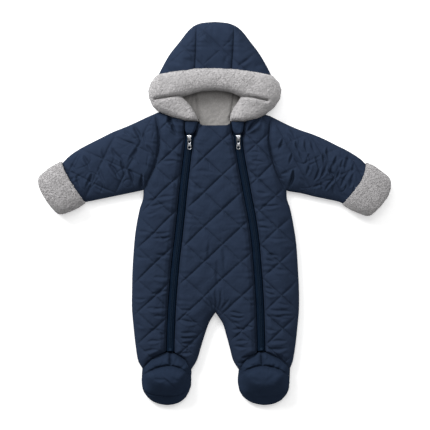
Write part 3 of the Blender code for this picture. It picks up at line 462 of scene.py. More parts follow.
back = cloth("back_quilted_panel",
             [allowance(back_face(h, back_edges, BACK_QUILT)) for h in halves],
             faces_up=False)
dress(back, NAVY, "navy_quilt", "back_panel")


# ------------------------------------------------------------------ front of the suit
# Two side panels and a centre panel, of the same quilted shell, sewn to the zips. The
# wadding stands up between the stitch lines, and the cloth puckers along every seam.

ZIP_LINE = (
    (45, 182.4, -47, 182.9), (46, 158, -50, 158), (49, 126, -54, 126),
    (63, 48, -63, 48), (77, -30, -71, -30), (84, -100, -79, -100),
    (89, -172, -85, -172), (91, -230, -88, -230), (92, -272, -89, -273),
)
GUSSET_OUT = (
    (92, -272, -89, -273), (114, -281, -112, -282), (130, -290, -126, -290),
    (150, -309, -145, -309),
)
GUSSET_IN = (
    (92, -272, -89, -273), (78, -281, -75, -281), (62, -291, -60, -291),
    (48, -312, -48, -312),
)
FRONT_HIGH = 37.5        # the padded front over the surface, between stitch lines
STITCH_PITCH, STITCH_HALF, STITCH_WIDE = 3.6, 1.35, 0.3    # pitch, half length, half width
# Stitch lines: angle in degrees, distance of one of them from the origin, pitch, depth
QUILTS = {
    "centre": ((43, 96.5, 50.3, 5.4), (-43, 66.7, 50.3, 4.2)),
    "side_l": ((43, -56.1, 50.8, 5.2), (-43, 63.4, 46.2, 6.0)),
    "side_r": ((43, 103.4, 47.1, 5.8), (-43, -106.5, 47.1, 4.4)),
    "sleeve_l": ((24, 19.9, 50.5, 2.4), (-62, 192.7, 50.5, 5.4)),
    "sleeve_r": ((64, 195.9, 50.5, 4.6), (-24, 59.3, 50.5, 4.2)),
    "hood": ((43, 229.8, 50.5, 2.6), (-43, 248.0, 50.5, 5.4)),
}
# Creases. Columns: x and y of each end, depth (below 0 a ridge), half width
BODY_CREASES = (
    (-92, 193, -83, 172, 9.0, 3.4), (-85, 176, -77, 160, 6.0, 2.3),
    (70, 169, 86, 190, 9.0, 3.8), (65, 163, 75, 176, 4.0, 2.4),
    (-103, 105, -77, 105, 1.8, 2.5), (-134, 26, -114, 31, 2.5, 3.0),
    (-114, 31, -82, 37, 2.5, 3.0), (-128, 16, -103, 19, 2.5, 2.5),
    (-134, 0, -118, 2, 1.8, 2.5), (-152, -34, -131, -37, 1.8, 2.5),
    (-125, -40, -91, -37, 2.2, 3.0), (-118, -49, -88, -46, 2.5, 2.5),
    (-161, -83, -134, -89, 2.0, 2.5), (-115, -80, -91, -83, 2.1, 2.5),
    (-118, -126, -94, -126, 2.2, 3.0), (-122, -157, -95, -154, 2.1, 2.5),
    (-161, -169, -140, -169, 2.8, 2.5), (-128, -190, -94, -187, 2.1, 2.5),
    (-118, -203, -97, -201, 2.1, 2.5), (-132, -187, -113, -187, 1.9, 2.5),
    (-156, -219, -143, -224, 2.0, 2.5), (-127, -229, -100, -232, 2.1, 2.5),
    (-132, -253, -111, -251, 2.8, 2.5), (-140, -272, -116, -269, 2.8, 3.0),
    (69, 122, 88, 122, 2.1, 2.5), (75, 105, 94, 103, 2.1, 2.5),
    (85, 43, 106, 40, 2.4, 3.0), (97, 16, 129, 16, 3.2, 2.5),
    (88, -15, 115, -18, 2.2, 3.0), (88, -27, 106, -29, 2.0, 2.5),
    (109, -49, 146, -50, 2.0, 3.0), (106, -80, 122, -83, 2.5, 2.5),
    (103, -92, 118, -95, 2.5, 2.5), (115, -107, 146, -114, 2.2, 3.0),
    (103, -147, 118, -150, 2.5, 2.5), (103, -157, 118, -160, 2.5, 2.5),
    (128, -178, 146, -181, 2.1, 2.5), (109, -190, 152, -194, 2.4, 3.0),
    (125, -203, 158, -201, 2.1, 2.5), (121, -205, 148, -208, 2.1, 2.5),
    (105, -229, 119, -232, 2.1, 2.5), (113, -253, 140, -251, 3.0, 3.0),
    (108, -269, 143, -267, 3.0, 3.0),
    (-32, 86, -8, 83, 1.6, 3.4), (-48, 53, -20, 50, 1.4, 3.4),
    (-12, -55, -12, -92, 1.6, 3.0), (5, -95, 5, -141, 1.8, 3.4),
    (17, -67, 20, -110, 1.8, 3.4), (2, -187, 2, -142, 2.6, 2.6),
    (-65, -189, -47, -191, 2.0, 2.5), (-68, -211, -36, -216, 3.0, 3.0),
    (-65, -235, -36, -237, 2.8, 3.0), (-65, -245, -41, -247, 3.0, 2.5),
    (-63, -256, -41, -259, 2.5, 2.5), (-65, -275, -47, -277, 2.8, 2.5),
    (-9, -190, -27, -166, 2.4, 2.2), (-4, -188, -13, -150, 2.4, 2.4),
    (8, -188, 14, -150, 2.4, 2.4), (13, -190, 28, -168, 2.2, 2.2),
    (33, -195, 55, -197, 2.8, 2.5), (33, -205, 55, -205, 2.2, 2.5),
    (39, -216, 47, -219, 2.1, 2.5), (65, -224, 73, -224, 2.8, 2.5),
    (36, -229, 60, -229, 2.4, 2.5), (44, -253, 65, -251, 2.4, 2.5),
    (39, -264, 60, -264, 2.4, 2.5), (55, -285, 71, -283, 3.0, 2.5),
    (41, -296, 60, -296, 2.8, 2.5), (-76, -286, -60, -290, 2.2, 2.5),
)


def zip_edge(side, which):
    """The edge of a zip's strip: inner is +1 and outer is -1. It flares at the guard."""
    line = edge(ZIP_LINE, side)
    half = 8.5 + 3.5 * ramp((line[:, 1] - 150.0) / 10.0)
    across = sideways(unit(np.gradient(line, axis=0)))
    return line + across * (half * which * SIDES[side])[:, None]


def creasing(plan, table):
    """Soft troughs along short lines: a bell across each, with a crest along one side,
    widest and deepest near its start and running out to a point at both ends."""
    deep = np.zeros(plan.shape[:-1])
    for x0, y0, x1, y1, depth, half in table:
        a, run = np.array([x0, y0], float), np.array([x1 - x0, y1 - y0], float)
        length = np.linalg.norm(run)
        off = plan[..., :2] - a
        u = (off @ run) / length
        w = (off[..., 0] * run[1] - off[..., 1] * run[0]) / length
        w = w + 0.8 * np.sin(u * 0.19 + x0)
        share = np.clip((u + 1.5 * half) / (length + 3.0 * half), 0, 1)
        body = np.sin(math.pi * share ** 0.8)
        wide = half * (0.4 + 0.75 * body)
        bell = np.exp(-(w / wide) ** 2) - 0.5 * np.exp(-((w - 2.0 * wide) / (1.2 * wide)) ** 2)
        deep += 1.15 * depth * bell * body
    return deep


def crumple(plan, size, depth, seed):
    """Crumpled cloth: valleys that wander where a soft noise crosses zero, uneven in
    depth because a slower noise scales them."""
    valley = np.exp(-(ripple(plan, size, seed) / 0.16) ** 2)
    return depth * valley * np.clip(0.5 + ripple(plan, size * 1.7, seed + 1), 0.0, 1.2)


def puckers(plan, seam, pitch, depth, reach, seed):
    """Gathers along a seam: waves along it of uneven length, dying out away from it."""
    length = lengths(seam)
    flat = plan[..., :2].reshape(-1, 2)
    near = np.zeros(len(flat))
    best = np.full(len(flat), np.inf)
    for k, (off, t) in enumerate(offsets(flat, seam)):
        closer = off < best
        best = np.where(closer, off, best)
        near = np.where(closer, length[k] + t * (length[k + 1] - length[k]), near)
    off, near = np.sqrt(best), near[:, None]
    slow = ripple(near, pitch * 4.3, seed)
    wave = np.cos(2 * math.pi * near[:, 0] / pitch + 2.4 * slow + 0.03 * off * (1 + slow))
    size = 0.55 + 0.75 * ripple(near, pitch * 2.9, seed + 1)
    out = depth * wave * np.clip(size, 0.0, 1.6) * np.exp(-(off / reach) ** 1.2)
    return (out * ramp(off / 3.0)).reshape(plan.shape[:-1])


front_seams = [zip_edge(s, w)[::2] for s in SIDES for w in (1, -1)]
front_seams += [edge(t, s, 8) for t in (ARMHOLE, GUSSET_OUT, GUSSET_IN) for s in SIDES]


def padded_face(plan, top, swell, relief):
    """Cloth over wadding: up from the seams to the top as it swells, with its relief let
    in, but calmed towards the edges."""
    high = SEAM_Z + 0.4 + (top - SEAM_Z) * swell
    calm = 0.25 + 0.75 * ramp(swell * 1.4 - 0.2)
    return raised(plan, high - relief * swell * calm)


def body_face(plan, families, creases, gathers, seed, crumpled=0.5):
    """The front's outer face: a dome rising from the free edges, drawn down at the seams
    and the stitch lines, with its creases, gathers and the wadding's unevenness."""
    swell = dome(away(plan, free_edges) / 44.0)
    arm = ramp((np.abs(plan[..., 0]) - 120.0) / 160.0)
    seam = away(plan, front_seams)
    sunk = 5.8 * np.exp(-(seam / 2.7) ** 2) + 5.6 * (1 - ramp(seam / 13.0))
    soft = ramp(seam / 9.0)
    relief = quilting(plan, families, seed) * (0.35 + 0.65 * soft) + creasing(plan, creases)
    for chain, pitch, depth, reach in gathers:
        relief = relief + puckers(plan, chain, pitch, depth, reach, seed + 7)
    relief = relief - 0.75 * ripple(plan, 62.0, seed + 3) - 0.28 * ripple(plan, 21.0, seed + 4)
    relief = relief - 0.1 * ripple(plan, 8.0, seed + 5)
    relief = relief + crumple(plan[..., :2], 34.0, crumpled, seed + 8)
    return padded_face(plan, FRONT_HIGH - 3.0 * arm, swell, sunk + relief)


def flat_axes(runs):
    """Level unit vectors ahead of and beside each plan direction."""
    level = np.zeros(len(runs))
    return np.column_stack([runs, level]), np.column_stack([-sideways(runs), level])


def thread(name, face, plans, families, seed):
    """Lockstitches along the stitch lines: lozenges a few millimetres long, laid end to
    end in the groove, each three times as long as the gap after it."""
    spots, runs = [], []
    for ring in map(border, plans):
        low, high = ring.min(0), ring.max(0)
        reach = float(np.linalg.norm(high - low))
        centre = (low + high) / 2
        for angle, first, pitch, depth in families:
            if depth < 1.0:
                continue
            normal = line_normal(angle)
            run = np.array([normal[1], -normal[0]])
            here = centre @ normal
            for k in range(math.ceil((here - reach / 2 - first) / pitch),
                           math.floor((here + reach / 2 - first) / pitch) + 1):
                t = np.arange(-reach / 2, reach / 2, STITCH_PITCH)[:, None]
                line = centre + normal * (first + k * pitch - here) + run * t
                line = line - normal * (sway(line, seed) @ normal)[:, None]
                keep = within(line, ring) & (away(line, [closed(ring)[::2]]) > 4.0)
                spots.append(face(line[keep]))
                runs.append(np.broadcast_to(run, (int(keep.sum()), 2)))
    spots, runs = np.vstack(spots), np.vstack(runs)
    ahead, beside = flat_axes(runs)
    spots = spots + UP * 0.15
    ahead, beside = ahead * STITCH_HALF, beside * STITCH_WIDE
    corners = np.stack([spots - ahead, spots + beside, spots + UP * 0.34, spots - beside,
                        spots - UP * 0.3, spots + ahead], 1)
    index = np.arange(len(spots))[:, None, None] * 6
    shape = np.array([(0, 2, 1), (0, 3, 2), (0, 4, 3), (0, 1, 4),
                      (5, 1, 2), (5, 2, 3), (5, 3, 4), (5, 4, 1)])
    made = smooth_mesh(name, corners, (index + shape).reshape(-1, 3))
    return dress(made, THREAD, "navy_quilt")


def within(plan, ring):
    """Which points lie inside an outline, by counting how often a ray crosses it."""
    x, y = plan[:, 0:1], plan[:, 1:2]
    x0, y0 = ring[:, 0], ring[:, 1]
    x1, y1 = np.roll(x0, -1), np.roll(y0, -1)
    rise = np.where(np.abs(y1 - y0) < 1e-12, 1e-12, y1 - y0)
    cuts = ((y0 > y) != (y1 > y)) & (x < x0 + (y - y0) * (x1 - x0) / rise)
    return np.sum(cuts, axis=1) % 2 == 1


def border(grid):
    """The outline of a plan grid."""
    return np.vstack([grid[0], grid[1:, -1], grid[-1, -2::-1], grid[-2:0:-1, 0]])[:, :2]


THREAD = bpy.data.materials.new("navy sewing thread")
node_tree(THREAD, Base_Color=(0.016, 0.024, 0.045, 1.0), Roughness=0.5, Specular_IOR_Level=0.4)

for side in SIDES:
    inner = zip_edge(side, -1)
    neck = edge(NECK_SIDE, side)
    neck = neck[np.abs(neck[:, 0]) > abs(inner[0, 0]) + 1.0]
    top = np.vstack([inner[:1], neck, edge(ARMHOLE, side)[:1]])
    outer = np.vstack([edge(ARMHOLE, side), edge(SIDE, side)[1:]])
    foot = np.vstack([inner[-1:], edge(GUSSET_OUT, side)[4:]])
    down = stations(370, 0.1)
    plan = patch(top, foot, along(inner, down), along(outer, down), stations(74, 0.3), down)
    side_seam = outer[outer[:, 1] < 46][::2]
    gathers = ((inner[::2], 17.0, 1.25, 24.0), (side_seam, 19.0, 0.8, 20.0))
    families, seed = QUILTS[f"side_{side}"], {"l": 20, "r": 40}[side]
    face = partial(body_face, families=families, creases=BODY_CREASES, gathers=gathers,
                   seed=seed)
    panel = cloth(f"front_side_panel_{side}", [hem(face(plan))])
    dress(panel, NAVY, "navy_quilt", f"front_side_{side}")
    thread(f"front_side_stitches_{side}", face, [plan], families, seed)

halves, gathers = [], []
for side in SIDES:
    outer = zip_edge(side, 1)
    middle = np.vstack([np.linspace((0, 175.5), (1, CROTCH), 100), edge(INSEAM, side)[1:]])
    top = np.array([(0, 175.5), (24 * SIDES[side], 176), outer[0]])
    foot = np.vstack([middle[-1:], edge(GUSSET_IN, side)[::-1][1:-4], outer[-1:]])
    halves.append(half_panel(middle, outer, top, foot, 300, 100, stations(62, 0.2)))
    gathers.append((outer[::2], 16.0, 1.0, 20.0))
    gathers.append((edge(INSEAM, side, 6)[5:], 14.0, 1.0, 18.0))
face = partial(body_face, families=QUILTS["centre"], creases=BODY_CREASES, gathers=gathers,
               seed=60)
centre = cloth("front_centre_panel", [face(h) for h in halves])
dress(centre, NAVY, "navy_quilt", "front_centre")
thread("front_centre_stitches", face, halves, QUILTS["centre"], 60)


# ------------------------------------------------------------------------- sleeves
# A set-in sleeve is one piece round the arm, with its seam underneath. It lies flat on
# itself, so both its long edges are folds, and it is crumpled where the arm would bend.

CUFF_SEAM = (
    (301, 100, -305, 102), (296, 80, -296, 82), (285, 59, -283, 60),
    (256, 21, -260, 24),
)
SLEEVE_CREASES = {
    "r": (
        (-160, 176, -148, 148, 7.7, 3.3), (-205, 128, -185, 106, 4.3, 3.0),
        (-208, 98, -188, 71, 5.9, 3.0), (-230, 88, -218, 58, 3.2, 3.0),
        (-259, 113, -250, 93, 4.6, 3.0), (-273, 73, -268, 56, 3.7, 3.0),
        (-170, 86, -160, 61, 6.4, 3.0), (-134, 136, -118, 110, 3.2, 2.2),
        (-146, 44, -146, 76, 11.0, 2.7), (-178, 166, -172, 158, 4.6, 2.3),
        (-140, 156, -139, 141, 2.9, 2.3), (-185, 106, -180, 78, 3.4, 2.3),
        (-245, 78, -255, 53, 3.7, 2.3), (-200, 150, -152, 136, 2.1, 2.1),
        (-152, 136, -172, 103, 2.4, 2.1), (-284, 98, -276, 84, 2.4, 2.3),
        (-224, 128, -216, 108, 2.4, 3.0), (-236, 52, -222, 44, 2.1, 2.3),
    ),
    "l": (
        (150, 171, 158, 153, 4.6, 2.8), (145, 158, 155, 143, 2.9, 2.2),
        (133, 146, 128, 128, 3.4, 2.2), (160, 141, 168, 126, 3.9, 2.2),
        (178, 146, 183, 121, 3.4, 2.2), (190, 143, 198, 123, 3.4, 2.2),
        (223, 131, 225, 108, 3.9, 2.2), (240, 113, 235, 93, 3.9, 2.2),
        (265, 116, 258, 88, 3.5, 2.8), (198, 68, 210, 93, 4.3, 2.2),
        (210, 73, 223, 98, 4.3, 2.2), (196, 52, 212, 60, 1.7, 2.2),
        (220, 48, 240, 78, 3.9, 2.2), (250, 56, 268, 88, 3.9, 2.8),
        (268, 56, 275, 78, 2.7, 2.8), (156, 84, 148, 50, 8.0, 2.6),
        (133, 78, 150, 84, 1.9, 2.2), (168, 122, 174, 104, 2.6, 2.0),
        (205, 153, 215, 138, 2.9, 2.2), (225, 88, 235, 76, 3.4, 1.9),
        (182, 78, 190, 98, 3.1, 2.2), (170, 70, 182, 58, 2.1, 2.2),
        (200, 112, 206, 88, 3.1, 1.8), (214, 118, 216, 101, 2.8, 1.8),
        (232, 98, 228, 78, 3.1, 1.8), (240, 66, 247, 88, 3.3, 1.8),
        (254, 108, 250, 92, 2.8, 1.8), (210, 62, 216, 46, 2.4, 1.8),
        (232, 58, 236, 42, 2.6, 2.0), (152, 118, 148, 100, 2.8, 2.0),
        (276, 98, 270, 82, 2.4, 2.0), (186, 118, 190, 106, 2.6, 1.8),
    ),
}
for side in SIDES:
    low, high = edge(SLEEVE_FOOT, side), edge(SLEEVE_TOP, side)
    arm, wrist = edge(ARMHOLE, side)[::-1], edge(CUFF_SEAM, side)[::-1]
    turn = np.linspace(0, 2 * math.pi, 236, endpoint=False)
    down = stations(150, 0.15)
    plan = patch(arm, wrist, along(low, down), along(high, down),
                 (1 - np.cos(turn)) / 2, down)
    folds = [low[::3], high[::3]]
    gathers = ((edge(ARMHOLE, side)[2:-2:2], 15.0, 1.0, 16.0), (wrist[::2], 14.0, 1.2, 18.0))
    families, seed = QUILTS[f"sleeve_{side}"], {"l": 80, "r": 100}[side]
    face = partial(body_face, families=families, creases=SLEEVE_CREASES[side],
                   gathers=gathers, seed=seed, crumpled=1.9)
    tube = face(plan)
    behind = turn > math.pi
    tube[:, behind] = back_face(plan[:, behind], folds, families)
    tube[:, [0, len(turn) // 2], 2] = SEAM_Z
    sleeve = cloth(f"quilted_sleeve_{side}", [tube], round_u=True)
    dress(sleeve, NAVY, "navy_quilt", f"sleeve_{side}")
    thread(f"sleeve_stitches_{side}", face, [plan[:, ~behind]], families, seed)


# --------------------------------------------------------------------------- cuffs
# A deep cuff of curly pile, turned back over the sleeve's end and pressed oval. The
# pile is a knit ground from which the yarn stands out in small close curls.

CUFF_DEPTH, CUFF_ROLL, CUFF_HALF_HIGH, CUFF_WALL = 50.0, 10.0, 23.0, 14.0
YARN, CURL_RING = 0.52, 1.35    # radii of the yarn and of a curl


def pile_group():
    """Curly pile: its tone follows the curls' height, with painted shade down between the curls
    and lighter where a curl stands up.
    """
    tree, vector, curls_per_metre, result = effect_group("curly pile", "Curls per metre", 230.0)
    _, bent = node(tree, "VectorMath", (0, noise(tree, vector, 190.0, 2.0, "Color")),
                   (1, (0.004, 0.004, 0.004)), (2, vector), operation="MULTIPLY_ADD")
    _, cell = node(tree, "TexVoronoi", ("Smoothness", 0.6), ("Vector", bent[0]),
                   ("Scale", curls_per_metre), feature="SMOOTH_F1")
    tuft = maths(tree, "SUBTRACT", 1.0, cell["Distance"])
    fleck = maths(tree, "MULTIPLY", noise(tree, vector, 420.0, 3.0), 0.3)
    tree.links.new(tuft, result["Height"])
    # The tone follows the height: painted shade in the hollows between the curls, plus random
    # flecks
    tree.links.new(maths(tree, "MULTIPLY_ADD", tuft, 0.7, fleck), result["Tone"])
    return tree


PILE = pile_group()


def pile_cloth(name, dark, light, curls_per_metre, relief):
    """Matt yarn: the pile's tone runs from a darker grey, the painted shade between the curls, to
    a lighter one.
    """
    made = bpy.data.materials.new(name)
    pile, _ = two_tone(made, PILE, dark, light, 0.6, relief, Roughness=0.95,
                       Sheen_Weight=0.35, Sheen_Roughness=0.6, Specular_IOR_Level=0.15)
    pile["Curls per metre"].default_value = curls_per_metre
    return made


SHERPA = pile_cloth("grey curly pile", (0.27, 0.263, 0.266), (0.43, 0.418, 0.423),
                    330.0, 0.0022)
CURL = pile_cloth("grey pile yarn", (0.33, 0.321, 0.325), (0.43, 0.418, 0.423),
                  600.0, 0.0003)


def normals_of(grid, round_u, round_v):
    """Each grid point's normal: the cross product of its two central differences."""
    def slope(axis, closed):
        if closed:
            return np.roll(grid, -1, axis) - np.roll(grid, 1, axis)
        return np.gradient(grid, axis=axis)
    return unit(np.cross(slope(1, round_u), slope(0, round_v)))


def clumped(grid, normal, size, depth, seed):
    """Pile as clumps: the surface moved out along ridges where a soft noise is near 0."""
    lumps = 1.0 - np.abs(ripple(grid, size, seed)) * 1.6
    lumps = lumps + 0.5 * ripple(grid, size * 0.45, seed + 1)
    return grid + normal * (depth * lumps)[..., None]


def curls(name, grid, normal, shows, count, seed, lift=0.35):
    """Many small curls of yarn spread evenly over a surface: each is three quarters of a
    ring, lying aslant on the pile, as a tube of three sides."""
    pick = np.random.default_rng(seed)
    down, along_row = np.gradient(grid, axis=0), np.gradient(grid, axis=1)
    size = np.linalg.norm(np.cross(down, along_row), axis=-1)
    size = size * shows * (np.linalg.norm(normal, axis=-1) > 0.5)
    chosen = pick.choice(size.size, count, p=(size / size.sum()).ravel())
    out = normal.reshape(-1, 3)[chosen]
    base = (grid.reshape(-1, 3)[chosen]
            + down.reshape(-1, 3)[chosen] * pick.uniform(-0.5, 0.5, (count, 1))
            + along_row.reshape(-1, 3)[chosen] * pick.uniform(-0.5, 0.5, (count, 1)))
    side = unit(np.cross(out, pick.normal(size=out.shape)))
    tilt = pick.uniform(0.1, 0.8, count)[:, None]
    rise = np.cross(out, side) * np.cos(tilt) + out * np.sin(tilt)
    wide = CURL_RING * pick.uniform(0.7, 1.3, count)[:, None, None]
    turn = (np.linspace(0, 1.5 * math.pi, 5)[None, :, None]
            + pick.uniform(0, 6.3, count)[:, None, None])
    outward = side[:, None] * np.cos(turn) + rise[:, None] * np.sin(turn)
    middle = base[:, None] + out[:, None] * lift + wide * outward
    above = np.cross(side, rise)[:, None] * np.ones_like(turn)
    thick = YARN * pick.uniform(0.8, 1.25, count)[:, None, None, None]
    spin = (np.arange(3) * math.tau / 3)[None, None, :, None]
    tube = middle[:, :, None] + thick * (outward[:, :, None] * np.cos(spin)
                                         + above[:, :, None] * np.sin(spin))
    index = np.arange(count)[:, None, None] * 15
    step, spoke = np.meshgrid(np.arange(4) * 3, np.arange(3), indexing="ij")
    after = (spoke + 1) % 3
    quads = np.stack([step + spoke, step + after, step + 3 + after, step + 3 + spoke],
                     -1).reshape(-1, 4)
    ends = np.array([(0, 2, 1), (12, 13, 14)])
    faces = [*(index + quads).reshape(-1, 4).tolist(), *(index + ends).reshape(-1, 3).tolist()]
    return dress(smooth_mesh(name, tube, faces), CURL, "sherpa_grey")


for side in SIDES:
    seam = edge(CUFF_SEAM, side)
    head, foot = seam[0], seam[-1]
    middle = (head + foot) / 2
    across = unit(head - foot)
    outward = np.array([across[1], -across[0]])
    outward = outward * math.copysign(1.0, outward[0] * middle[0])
    half = np.linalg.norm(head - foot) / 2 + 1.5
    # Profile: distance from the seam and share of the way through the wall, outside first
    roll = np.linspace(0, math.pi, 13)[1:-1]
    reach = np.concatenate([np.linspace(0, CUFF_DEPTH, 26), CUFF_DEPTH + CUFF_ROLL * np.sin(roll),
                            np.linspace(CUFF_DEPTH, 0, 12)])
    share = np.concatenate([-0.14 * np.sin(math.pi * np.linspace(0, 1, 26)) ** 0.6,
                            (1 - np.cos(roll)) / 2, np.ones(12)])
    turn = np.linspace(0, 2 * math.pi, 130, endpoint=False)[None]
    share, reach = share[:, None], reach[:, None]
    wide = half - (CUFF_WALL + 1.0) * share - 2.5 * ramp(reach / 60.0)
    tall = CUFF_HALF_HIGH + (1.7 - CUFF_HALF_HIGH) * share
    u = power(np.cos(turn), 0.75) * wide
    z = CUFF_HALF_HIGH + power(np.sin(turn), 0.8) * tall
    to_seam = (seam - middle) @ across
    bow = np.interp(u, to_seam[::-1], ((seam - middle) @ outward)[::-1])
    out = 0.7 + reach - 5.0 * (u / half) ** 2 * (reach / CUFF_DEPTH) + bow
    plan = middle + across * u[..., None] + outward * out[..., None]
    grid = raised(plan, np.maximum(z, 0.6))
    normal = normals_of(grid, True, True)
    if (normal[10, :, 2] * (grid[10, :, 2] - CUFF_HALF_HIGH)).sum() < 0:
        normal = -normal
    pile = clumped(grid, normal, 6.0, 0.6, 31)
    pile[..., 2] = np.maximum(pile[..., 2], 0.3)
    cuff = cloth(f"pile_cuff_{side}", [pile], round_u=True, round_v=True)
    dress(cuff, SHERPA, "sherpa_grey", f"cuff_{side}")
    shows = np.broadcast_to(share < 0.8, grid.shape[:2]) & (grid[..., 2] > 4.0)
    curls(f"cuff_curls_{side}", grid, normal, shows, 2800, 33)


# ---------------------------------------------------------------------------- feet
# Each leg ends in a closed foot of plain shell: two gusset halves over the ankle with a
# seam between them, a round padded toe cap, and a sole turned up in front of it.

FOOT_RIM = (
    (150, -309, -145, -309), (148, -322, -146, -322), (149, -340, -146, -340),
    (146, -354, -143, -354), (138, -367, -134, -367), (122, -378, -118, -378),
    (100, -382, -96, -382), (76, -378, -74, -378), (57, -366, -58, -366),
    (48, -350, -50, -350), (46, -334, -48, -334), (48, -312, -48, -312),
)
CAP_EDGE = (
    (149, -338, -146, -338), (145, -350, -142, -350), (135, -358, -131, -358),
    (120, -361, -117, -361), (98, -362, -95, -362), (77, -361, -75, -361),
    (61, -356, -62, -356), (51, -347, -53, -347), (46, -334, -48, -334),
)
TOE_SEAM = (
    (148, -322, -146, -322), (126, -308, -122, -308), (94, -301, -92, -301),
    (66, -308, -66, -308), (46, -323, -48, -323),
)
TOE_HIGH, SOLE_TURN, SOLE_HIGH = 56.0, 12.0, 12.0
ALLOWANCE = 8.0          # of the sole's seam, inside the cap and the gussets
FOOT_MIDDLE = 98.0       # x on either side
CAP_MIDDLE = {"l": 93.0, "r": -104.0}
UNDER_ROWS = (0.3, 1.5, 4, 8, 13, 18, 26, 36)    # in from the sole's edge
# Creases of the gussets and toe caps, in the columns of the body's
FOOT_CREASES = (
    (-103, -315, -71, -345, -2.0, 2.0), (-117, -325, -98, -325, 1.8, 2.4),
    (-84, -323, -73, -328, 1.2, 3.5), (-104, -289, -97, -299, 1.4, 3.0),
    (-76, -290, -83, -299, 1.4, 3.0), (-126, -300, -112, -306, 1.2, 3.0),
    (-62, -300, -72, -306, 1.2, 3.0), (60, -296, 72, -298, 1.8, 3.0),
    (66, -288, 80, -288, 1.8, 3.0), (52, -306, 66, -306, 1.5, 3.0),
    (104, -288, 98, -299, 1.4, 3.0), (120, -298, 108, -305, 1.4, 3.0),
    (132, -302, 122, -308, 1.2, 3.0), (118, -318, 104, -326, 1.0, 4.0),
    (72, -322, 84, -330, 1.0, 4.0),
)
NAVY_PLAIN = shell_cloth("navy plain shell", (0.0122, 0.0196, 0.0370),
                         (0.0174, 0.0274, 0.0505), 0.7)


def roomy(plan, chain):
    """Each point's smoothed distance to the chain round it: pi over the sum of the angles
    that its runs subtend, each divided by the distance to its line."""
    flat = plan[..., :2].reshape(-1, 2)
    pull = np.zeros(len(flat))
    for a, b in zip(chain[:-1], chain[1:]):
        to_a, to_b = a - flat, b - flat
        cross = np.abs(to_a[:, 0] * to_b[:, 1] - to_a[:, 1] * to_b[:, 0])
        angle = np.arctan2(cross, (to_a * to_b).sum(1))
        pull += angle * np.linalg.norm(b - a) / np.maximum(cross, 1e-6)
    return (math.pi / np.maximum(pull, 1e-9)).reshape(plan.shape[:-1])


def turned_up(y):
    """How far the sole is turned up in front: not at the ankle, all of it at the toe."""
    return SOLE_TURN * ramp((-334.0 - y) / 22.0)


def foot_face(plan, outline, seams, seed):
    """The ankle's height blended into the toe cap's swelling, with seams let in."""
    leg = body_face(plan, (), (), (), seed)[..., 2]
    room = np.minimum(roomy(plan, outline), 1.6 * away(plan, [outline]))
    swell = np.sin(math.pi / 2 * np.clip(room / 30.0, 0, 1))
    turned = turned_up(plan[..., 1])
    toe_high = RIM_HIGH + turned + (TOE_HIGH - RIM_HIGH - turned) * swell
    off = away(plan, seams)
    sunk = (5.0 * np.exp(-(off / 2.6) ** 2) + 4.2 * (1 - ramp(off / 10.0))) * swell
    relief = creasing(plan, FOOT_CREASES) - 0.5 * ripple(plan, 30.0, seed + 1)
    relief = relief + 0.16 * ripple(plan, 10.0, seed + 2)
    relief = relief + puckers(plan, seams[0], 11.0, 0.7, 10.0, seed + 3)
    blend = ramp((-284.0 - plan[..., 1]) / 42.0)
    calm = 0.1 + 0.9 * ramp((swell - 0.45) / 0.45)
    return raised(plan, leg + (toe_high - leg) * blend - sunk - relief * swell * calm)


